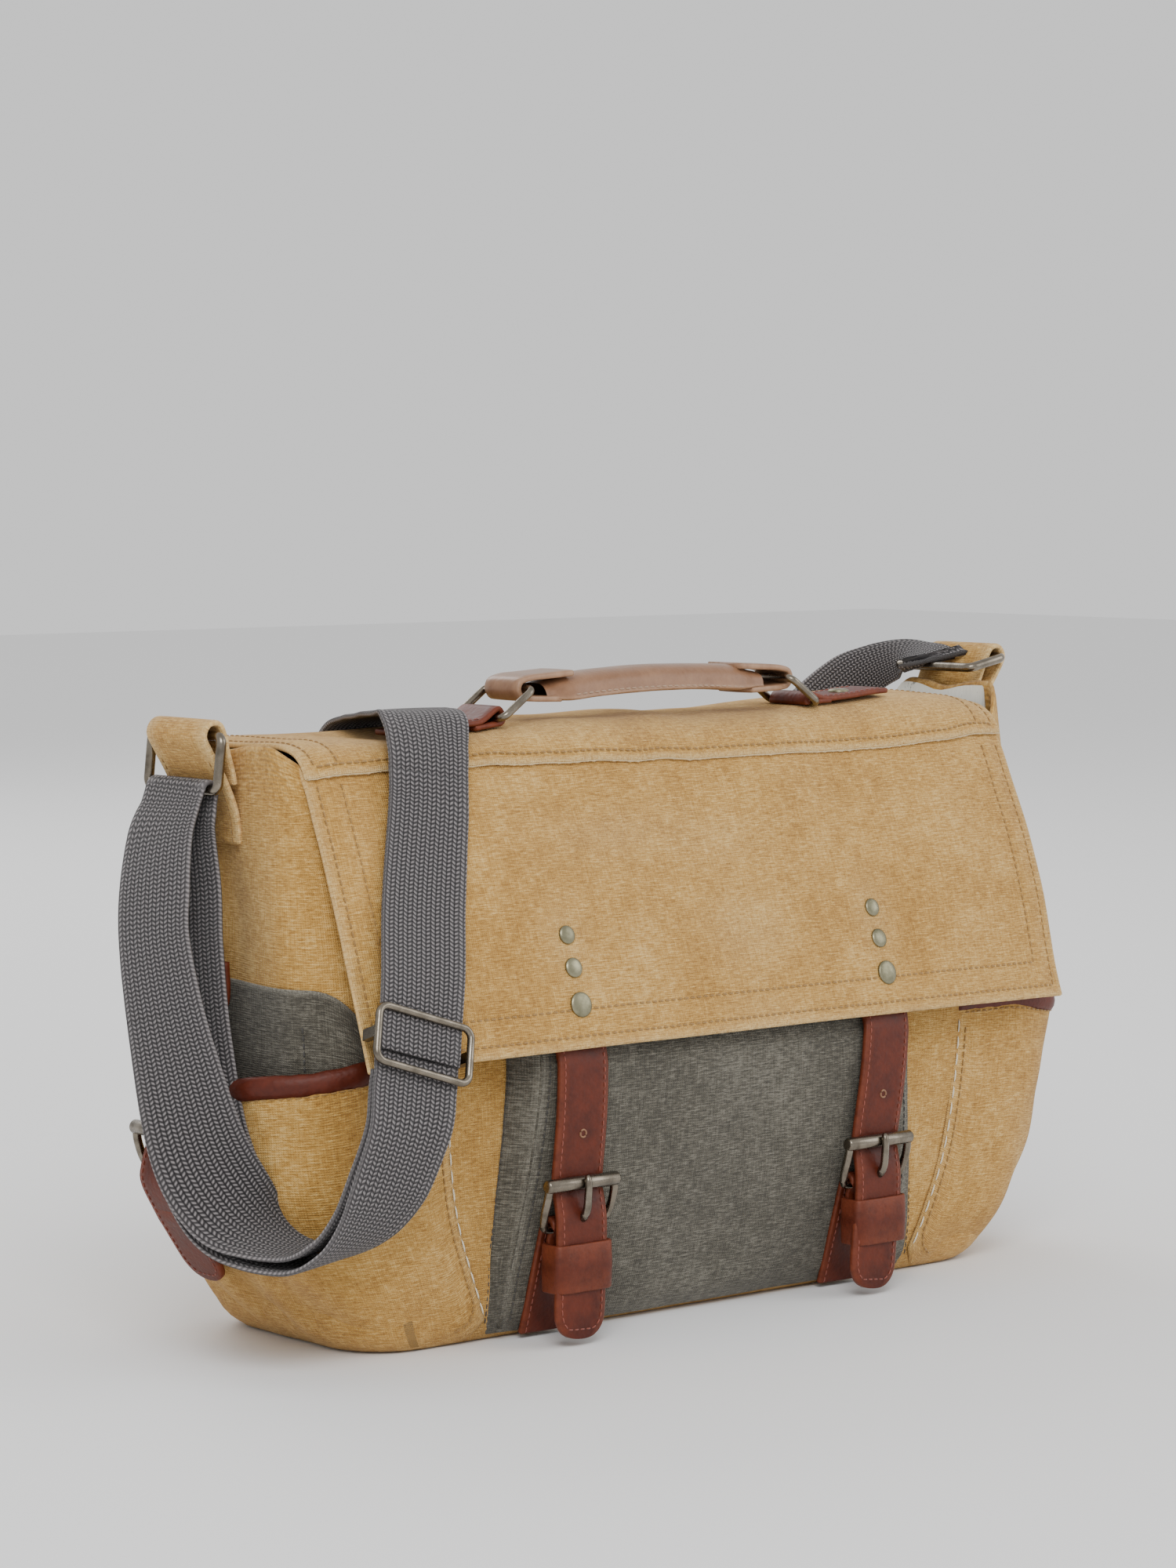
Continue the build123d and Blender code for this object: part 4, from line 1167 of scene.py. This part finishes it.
def make_closing_strap(side):
    word = WORD[side]
    x = side * STRAP_X
    lean = LEAN[word]
    at = [((x + lean * k, y, z), OUT) for k, y, z in CLOSING]
    leather_strap("closing_strap_leather_" + word, "closing_strap_" + word, at, STRAP_W, 2.8, "flap_front", True)
    low = x + lean * 0.62
    place = front_place(low)
    leather_strap("base_strap_leather_" + word, "base_strap_" + word,
                  [((x + lean * 0.55, y, z), OUT) for _, y, z in BASE_STRAP], STRAP_W, 2.4, "bag")
    chape = [(place(0, 74.2, 22), OUT), (place(0, 75.6, 34), OUT), (place(0, 76.0, 42), OUT),
             (place(0, 78.6, 47.4), (0, -0.6, 0.8)), (place(0, 76.4, 50), (0, 0.6, 0.8))]
    leather_strap("buckle_chape_leather_" + word, "buckle_chape_" + word, chape, STRAP_W - 2, 2.4, "flap_front",
                  stitched=False)
    buckle(word, "front", place, (77.5, 46), ("flap_front", "buckle_roller_" + word, "buckle_prong_" + word))
    keeper("buckle_keeper_band_" + word, "buckle_keeper_" + word, place, (80.2, 31), 14.3, 19, (0, 1), 6.6,
           "flap_front")
    eyelet("closing_strap_eyelet_" + word, front_place(x + lean * 0.33), (81.7, 83), "flap_front")


def make_side_strap(side):
    word = WORD[side]
    place = side_place(side)
    out = (side, 0, 0)
    stations = [(place(0, o, z), out) for o, z in SIDE_STRAP]
    leather_strap("side_strap_leather_" + word, "side_strap_" + word, stations, 25, 2.8, "bag", True)
    cross = Threads()
    for a, b in (((-9, 134), (9, 149)), ((9, 134), (-9, 149))):
        line = [place(a[0] + (b[0] - a[0]) * k, 201.7, a[1] + (b[1] - a[1]) * k) for k in (0, 0.5, 1)]
        cross.row(line, [Vector(out)] * 3, pitch=3.0, radius=0.3)
    cross.finish("side_strap_cross_" + word, RED_THREAD, "brown_leather", body="bag")
    chape = [(place(0, 201.5, 36), out), (place(0, 208.5, 51), out), (place(0, 214.4, 65), out),
             (place(0, 219.0, 70.2), (side * 0.6, 0, 0.8)), (place(0, 216.6, 73), (-side * 0.6, 0, 0.8))]
    leather_strap("side_chape_leather_" + word, "side_chape_" + word, chape, 23, 2.4, "bag", stitched=False)
    buckle(word, "side", place, (217, 69), ("bag", "side_roller_" + word, "side_prong_" + word))
    keeper("side_keeper_band_" + word, None, place, (210.4, 50), 14.3, 13, (0.54, 0.84), 5.2, "bag")


for side in (-1, 1):
    make_closing_strap(side)
    make_side_strap(side)


# ---- rivets, handle and ring tabs --------------------------------------------------------
def dome(verts, faces, centre, normal, radius, height):
    """Adds a low domed rivet head with a rolled rim."""
    n = normal.normalized()
    a = n.orthogonal().normalized()
    b = n.cross(a)
    profile = [(1.0, -0.4), (1.02, 0.15), (0.99, 0.38), (0.93, 0.54), (0.8, 0.7), (0.6, 0.86), (0.3, 0.97)]
    first = len(verts)
    for r, h in profile:
        for k in range(28):
            angle = 2 * pi * k / 28
            verts.append(centre + (a * cos(angle) + b * sin(angle)) * (radius * r) + n * (height * h))
    top = first + (len(profile) - 1) * 28
    for ring in range(first, top, 28):
        band(faces, ring, ring + 28, 28)
    verts.append(centre + n * height)
    for k in range(28):
        faces.append((top + k, top + (k + 1) % 28, len(verts) - 1))


def make_flap_rivets():
    verts, faces = [], []
    for side in (-1, 1):
        for z, radius in ((159, 3.75), (146.5, 4.0), (132.5, 5.0)):
            p, n = surface_frame(flap_surface, side * 84, flap_s_at(z))
            n = n if n.y < 0 else -n
            dome(verts, faces, p + n * 0.2, n, radius, 1.5)
    obj = new_object("flap_rivet_heads", verts, faces, [(v[0], v[2]) for v in verts])
    finish_piece(obj, NICKEL, "nickel", "flap_rivets", body="flap_front")


def top_at(x):
    """Height of the flap's top under the handle."""
    low = min(range(38, 93), key=lambda s: abs(flap_surface(x, s)[1] - HANDLE_Y))
    return flap_surface(x, low)[2]


RING_X, RING_Z = 86.0, 243.3        # the handle rings' lower bars
GRIP_X, GRIP_Z = 70.49, 254.28      # and their upper bars, in the grip's ends


def make_handle():
    section = [(-12.2, -4.6), (-12.4, -3.6), (-11.6, -2.4), (-11.2, 0), (-9.6, 3.4), (-6, 5.4), (0, 6), (6, 5.4),
               (9.6, 3.4), (11.2, 0), (11.6, -2.4), (12.4, -3.6), (12.2, -4.6), (6, -5.2), (-6, -5.2)]
    rows = []
    for x in np.linspace(-59, 59, 60):
        near = smooth(44, 59, abs(x))
        rise = 3.0 * (1 - (x / 59) ** 2) + x * 0.012
        scale_y, scale_z = 1 - 0.16 * near, 1 - 0.34 * near
        row = []
        for y, z in section:
            wrinkle = crumple((x * 0.6, y * 2, z), 9, 0.5, 8.0) + 0.25 * sin(x / 3.3 + y) * near
            k = 1 + wrinkle / 11
            row.append((x, HANDLE_Y + y * scale_y * k, GRIP_Z - 1.4 + rise + z * scale_z * k))
        rows.append(row)
    wear = [[0.45 if abs(y) > 11.8 else 0.0 for y, z in section]] * 60
    grip = grid("handle_grip_leather", rows, close=True, wear=wear)
    round_off(grip)
    finish_piece(grip, TAUPE, "taupe_leather", "handle_grip", body="handle_grip")
    threads = Threads()
    for y in (-12.0, 12.0):
        line = [Vector((x, HANDLE_Y + y, GRIP_Z - 4.2 + 3.0 * (1 - (x / 59) ** 2))) for x in
                np.linspace(-46, 46, 40)]
        threads.row(line, [Vector((0, 1 if y > 0 else -1, 0.3))] * 40, pitch=3.2, radius=0.36)
    threads.finish("handle_grip_stitches", TAUPE_THREAD, "taupe_leather", body="handle_grip")
    for side in (-1, 1):
        word = WORD[side]
        loop = [((side * 46, GRIP_Z + 5.6), (0, 1))]
        loop += [((side * 60, GRIP_Z + 4.8), (side * 0.1, 1)), ((side * 67, GRIP_Z + 4.4), (side * 0.1, 1))]
        for degrees in (60, 25, -10, -50, -85):
            c, s = cos(radians(degrees)), sin(radians(degrees))
            loop.append(((side * (GRIP_X + 3.7 * c), GRIP_Z + 3.7 * s), (side * c, s)))
        loop += [((side * 64, GRIP_Z - 4.2), (0, -1)), ((side * 52, GRIP_Z - 4.6), (0, -1))]
        path = [((x, HANDLE_Y, z), (nx, 0, nz)) for (x, z), (nx, nz) in loop]
        obj = strap("handle_loop_" + word, path, 21.5, 2.4, count=70)
        finish_piece(obj, TAUPE, "taupe_leather", body="handle_grip")
        make_handle_chape(side, word)


def make_handle_chape(side, word):
    path = [((side * 97, HANDLE_Y, top_at(side * 97) + 1.3), (0, 0, -1))]
    for degrees in (-90, -130, 180, 130, 90):
        c, s = cos(radians(degrees)), sin(radians(degrees))
        x = side * (RING_X - 3.4 * abs(c))
        path.append(((x, HANDLE_Y, max(RING_Z + 3.4 * s, top_at(x) + 1.3)), (-side * abs(c), 0, s)))
    for x in (94, 102, 112, 121, 130):
        path.append(((side * x, HANDLE_Y, max(top_at(side * x) + 2.2, RING_Z - 1.2 - (x - 94) * 0.1)), (0, 0, 1)))
    obj = strap("handle_chape_leather_" + word, path, 23, 2.2)
    finish_piece(obj, LEATHER, "brown_leather", "handle_chapes" if side > 0 else None, body="flap_top")
    threads = Threads()
    strap_stitches(threads, path[-5:], 23, 2.2, 2.2)
    threads.finish("handle_chape_stitches_" + word, RED_THREAD, "brown_leather", body="flap_top")
    verts, faces = [], []
    x, y, z = path[-3][0]
    dome(verts, faces, Vector((x, y, z + 1.1)), Vector((0, 0, 1)), 4.5, 1.4)
    rivet = new_object("handle_rivet_head_" + word, verts, faces, [(v[0], v[1]) for v in verts])
    finish_piece(rivet, NICKEL, "nickel", "handle_rivets" if side > 0 else None, body="flap_top")


# (x, z) of a ring tab's canvas from its lower outer end, over the ring's bar, to its lower inner end
TAB_LEFT = [(-196.4, 198), (-198.0, 210), (-203.4, 223), (-210.0, 234), (-212.9, 240), (-210.6, 244.4), (-206, 244.6),
            (-203.6, 240.6), (-202.4, 235), (-200.0, 227), (-198.6, 221)]
TAB_RIGHT = [(200.2, 210), (205, 226), (213.5, 242), (221.5, 253.6), (223.6, 258.4), (221, 262.4), (216.6, 262.2),
             (213.6, 258.6), (209.4, 250), (205.4, 241), (202.4, 233)]


def make_tab(side, path):
    word = WORD[side]
    centre = (path[4][0] * 0.3 + path[6][0] * 0.7 - side * 0.5, path[4][1])
    stations = []
    for i, (x, z) in enumerate(path):
        n = Vector((side, 0, 0.35)) if i < 4 else Vector((x - centre[0], 0, z - centre[1]))
        if i > 7:
            n = Vector((-side, 0, -0.4))
        stations.append(((x, 10, z), tuple(n.normalized())))
    obj = strap("strap_tab_cloth_" + word, stations, 38.6, 2.4, crown=0.2, wear=0.8)
    finish_piece(obj, TAN, "tan_canvas", "strap_tabs" if side < 0 else None, body="bag")
    threads = Threads()
    strap_stitches(threads, stations[:4], 38.6, 2.4, 3.5)
    mid = stations[2]
    for up in (-1.4, 1.4):
        p = Vector(mid[0]) + Vector((side * 1.5, 0, up))
        line = [p + Vector((0, w, 0)) for w in (-16, 0, 16)]
        threads.row(line, [Vector(mid[1])] * 3, pitch=3.2, radius=0.4)
    threads.finish("strap_tab_stitches_" + word, PALE_THREAD, "tan_canvas", body="bag")


make_flap_rivets()
make_handle()
make_tab(-1, TAB_LEFT)
make_tab(1, TAB_RIGHT)


# ---- shoulder strap --------------------------------------------------------------------
WEB_W = 38.0
WEB_T = 2.0
X_WAY = (1, 0, 0)
# (centre, direction across, gap between the two layers) of the loop from the left ring to the slider
LOOP = [
    ((-210.3, 10, 219.2), (0, -1, 0), 6.4), ((-212.2, 10, 212), (0, -1, 0), 8),
    ((-216.5, 9, 200), (0.08, -1, 0), 11.5),
    ((-220.6, 4, 179), (0.15, -0.99, 0), 17), ((-223.6, -1, 157), (0.15, -0.99, 0), 17.5),
    ((-227, -12, 122), (0.3, -0.95, 0), 13), ((-229.6, -26, 88), (0.6, -0.8, 0), 8),
    ((-226.5, -38, 67), (0.85, -0.5, 0), 6), ((-218.9, -50, 52.8), (0.98, 0, 0), 5.5),
    ((-209.2, -64, 46.4), (0.92, 0.38, 0), 5.5), ((-201.7, -76, 51), (0.95, 0.3, 0), 5),
    ((-194.5, -86, 62), (1, 0.1, 0), 4), ((-190, -92.5, 75.5), X_WAY, 3.4), ((-183, -95.2, 95), X_WAY, 2.6),
    ((-176.5, -90.6, 111), X_WAY, 2.4), ((-172.3, -86.4, 122.5), X_WAY, 2.2),
]
# (centre, direction across, width) from the slider over the bag and down its back to the right ring
RUN = [
    ((-173.2, -89.7, 121.5), X_WAY, 38), ((-171.3, -87.9, 127), X_WAY, 38), ((-163, -79.6, 150), X_WAY, 38),
    ((-152.8, -67.2, 174), X_WAY, 38), ((-144.5, -58.4, 194), X_WAY, 38), ((-138.5, -52.4, 212), X_WAY, 38),
    ((-136, -49.2, 224), X_WAY, 38), ((-134, -46.2, 233), X_WAY, 38), ((-131, -40.5, 241.3), X_WAY, 38),
    ((-126, -31, 246), X_WAY, 38), ((-118, -12, 246), X_WAY, 38), ((-110, 6, 244.2), X_WAY, 38),
    ((-103, 22, 242.6), X_WAY, 38), ((-99.5, 38, 239.6), X_WAY, 38), ((-98.5, 47, 233.5), X_WAY, 38),
    ((-98.5, 50.4, 224), X_WAY, 38), ((-94, 53, 206), (0.9, 0, 0.3), 38), ((-75, 56, 184), (0.75, 0, 0.66), 38),
    ((-40, 57, 166), (0.35, 0, 0.94), 38), ((20, 57, 158), (0, 0, 1), 38), ((80, 57, 173), (-0.35, 0, 0.94), 38),
    ((130, 56.5, 200), (-0.5, 0, 0.86), 38), ((163, 56, 227), (-0.45, 0, 0.9), 34),
    ((184, 54, 243), (-0.3, 0.1, 0.95), 28), ((197, 48, 251.5), (0, 0.3, 0.95), 22),
    ((203.5, 37, 256), (0.35, 0, 0.9), 19), ((203.5, 25, 257.5), (0.8, 0.1, 0.5), 20),
    ((200.5, 15, 257.2), (0.5, 0.85, 0.1), 26), ((198.4, 10, 256.8), (0, 1, 0), 34),
]


def ribbon_table(stations, count):
    return spline([(*p, *d, w) for p, d, w in stations], count)


def webbing(name, table, first, last, shift=None):
    """Part of a webbing strip. With a shift, the table's last column is the gap between two layers."""
    s = lengths(table)
    profile = [(-1, 0.0), (-0.985, 0.36), (-0.95, 0.5), (-0.7, 0.5), (-0.35, 0.5), (0, 0.5), (0.35, 0.5), (0.7, 0.5),
               (0.95, 0.5), (0.985, 0.36)]
    profile += [(-a, -b) for a, b in profile]
    verts, uvs, wears = [], [], []
    for i in range(first, last + 1):
        across, normal = frame_at(table, i)
        width = WEB_W if shift is not None else table[i, 6]
        centre = Vector(table[i, :3]) + normal * ((shift or 0) * table[i, 6] / 2)
        cup = 0.6 * sin(s[i] / 37.0) + (WEB_W - width) * 0.14
        for a, b in profile:
            bow = cup * (1 - a * a)
            verts.append(centre + across * (a * width / 2) + normal * (b * WEB_T + bow))
            uvs.append((a * WEB_W / 2 + (60 if b >= 0 else 140), s[i]))
            wears.append(0.9 * smooth(0.93, 1.0, abs(a)))
    return strap_mesh(name, verts, len(profile), uvs, wears), float(s[last] - s[first])


def web_piece(name, table, first, last, nodes, blend, shift=None):
    obj, size = webbing(name, table, first, last, shift)
    finish_piece(obj, WEBBING, "webbing", *nodes, blend=blend)


def nearest(table, point):
    return int(np.argmin(np.linalg.norm(table[:, :3] - np.array(point, float), axis=1)))


def make_shoulder_strap():
    loop = ribbon_table(LOOP, 260)
    high = nearest(loop, (-226, -8, 134))
    low = nearest(loop, (-209.2, -64, 46.4))
    upper = ("strap_ring_left", "bag", (-212, 10, 216), (-226, -6, 150))
    lower = ("bag", "flap_top", (-228, -16, 112), (-210, -62, 47))
    right = ("flap_top", "flap_front", (-209, -64, 46), (-184, -94, 92))
    for layer, shift, last in (("outer", 1, 250), ("inner", -1, 259)):
        web_piece("strap_loop_upper_" + layer, loop, 0, high, ["web_turn_left"], upper, shift)
        web_piece("strap_loop_lower_" + layer, loop, high, low, ["web_loop_left"], lower, shift)
        web_piece("strap_loop_right_" + layer, loop, low, last, ["web_loop_right"], right, shift)
    run = ribbon_table(RUN, 460)
    fold = nearest(run, (-136, -49.2, 224))
    back = nearest(run, (-40, 57, 166))
    web_piece("strap_front_run", run, 0, fold, ["web_front"],
              ("flap_top", "flap_front", (-137, -50, 222), (-145, -58, 190)))
    web_piece("strap_top_run", run, fold, back, ["web_top", "web_back"],
              ("flap_top", "bag", (-103, 22, 242), (-97, 51, 218)))
    web_piece("strap_back_run", run, back, len(run) - 1, ["web_turn_right"],
              ("bag", "strap_ring_right", (197, 48, 252), (199, 12, 257)))
    arc = []
    for degrees in range(180, -1, -20):
        c, s = cos(radians(degrees)), sin(radians(degrees))
        arc.append(((-210.3 + 3.2 * c, 10, 219.2 + 3.2 * s), (c, 0, s)))
    turn = strap("strap_ring_turn", arc, WEB_W, WEB_T, crown=0, count=24, wear=0.9)
    finish_piece(turn, WEBBING, "webbing", body="strap_ring_left")


make_shoulder_strap()

# ---- hardware that keeps its CAD shape --------------------------------------------------
for node, material in ([(n + w, GUNMETAL) for n in ("strap_ring", "handle_ring") for w in ("_left", "_right")]
                       + [("strap_slider", GUNMETAL), ("snap_studs", NICKEL), ("snap_sockets", NICKEL),
                          ("base_board", DARK_THREAD)]):
    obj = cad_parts[node]
    for index in range(max(len(obj.material_slots), 1)):
        if obj.material_slots:
            obj.material_slots[index].material = material
        else:
            obj.data.materials.append(material)


# ---- studio ----------------------------------------------------------------------------
def area_light(name, place, aim, size, power):
    data = bpy.data.lights.new(name, "AREA")
    data.size = size
    data.energy = power
    light = bpy.data.objects.new(name, data)
    light.location = place
    light.rotation_euler = (Vector(aim) - Vector(place)).to_track_quat("-Z", "Y").to_euler()
    bpy.context.collection.objects.link(light)


def make_studio():
    mesh = bpy.data.meshes.new("floor")
    mesh.from_pydata([(-6, -6, 0), (6, -6, 0), (6, 6, 0), (-6, 6, 0)], [], [(0, 1, 2, 3)])
    floor = bpy.data.objects.new("floor", mesh)
    bpy.context.collection.objects.link(floor)
    n = Nodes("floor_paint")
    n.colour((0.86, 0.86, 0.86))
    n.set(Roughness=0.9, Specular_IOR_Level=0.1)
    mesh.materials.append(n.material)
    world = bpy.data.worlds.new("studio")
    world.use_nodes = True
    world.node_tree.nodes["Background"].inputs["Color"].default_value = (1, 1, 1, 1)
    world.node_tree.nodes["Background"].inputs["Strength"].default_value = 0.9
    bpy.context.scene.world = world
    area_light("key", (-1.6, -2.0, 2.2), (0, 0, 0.12), 1.4, 55)
    area_light("fill", (1.8, -1.6, 1.2), (0, 0, 0.12), 1.6, 16)
    area_light("rim", (0.4, 2.2, 1.8), (0, 0, 0.15), 1.4, 22)


make_studio()
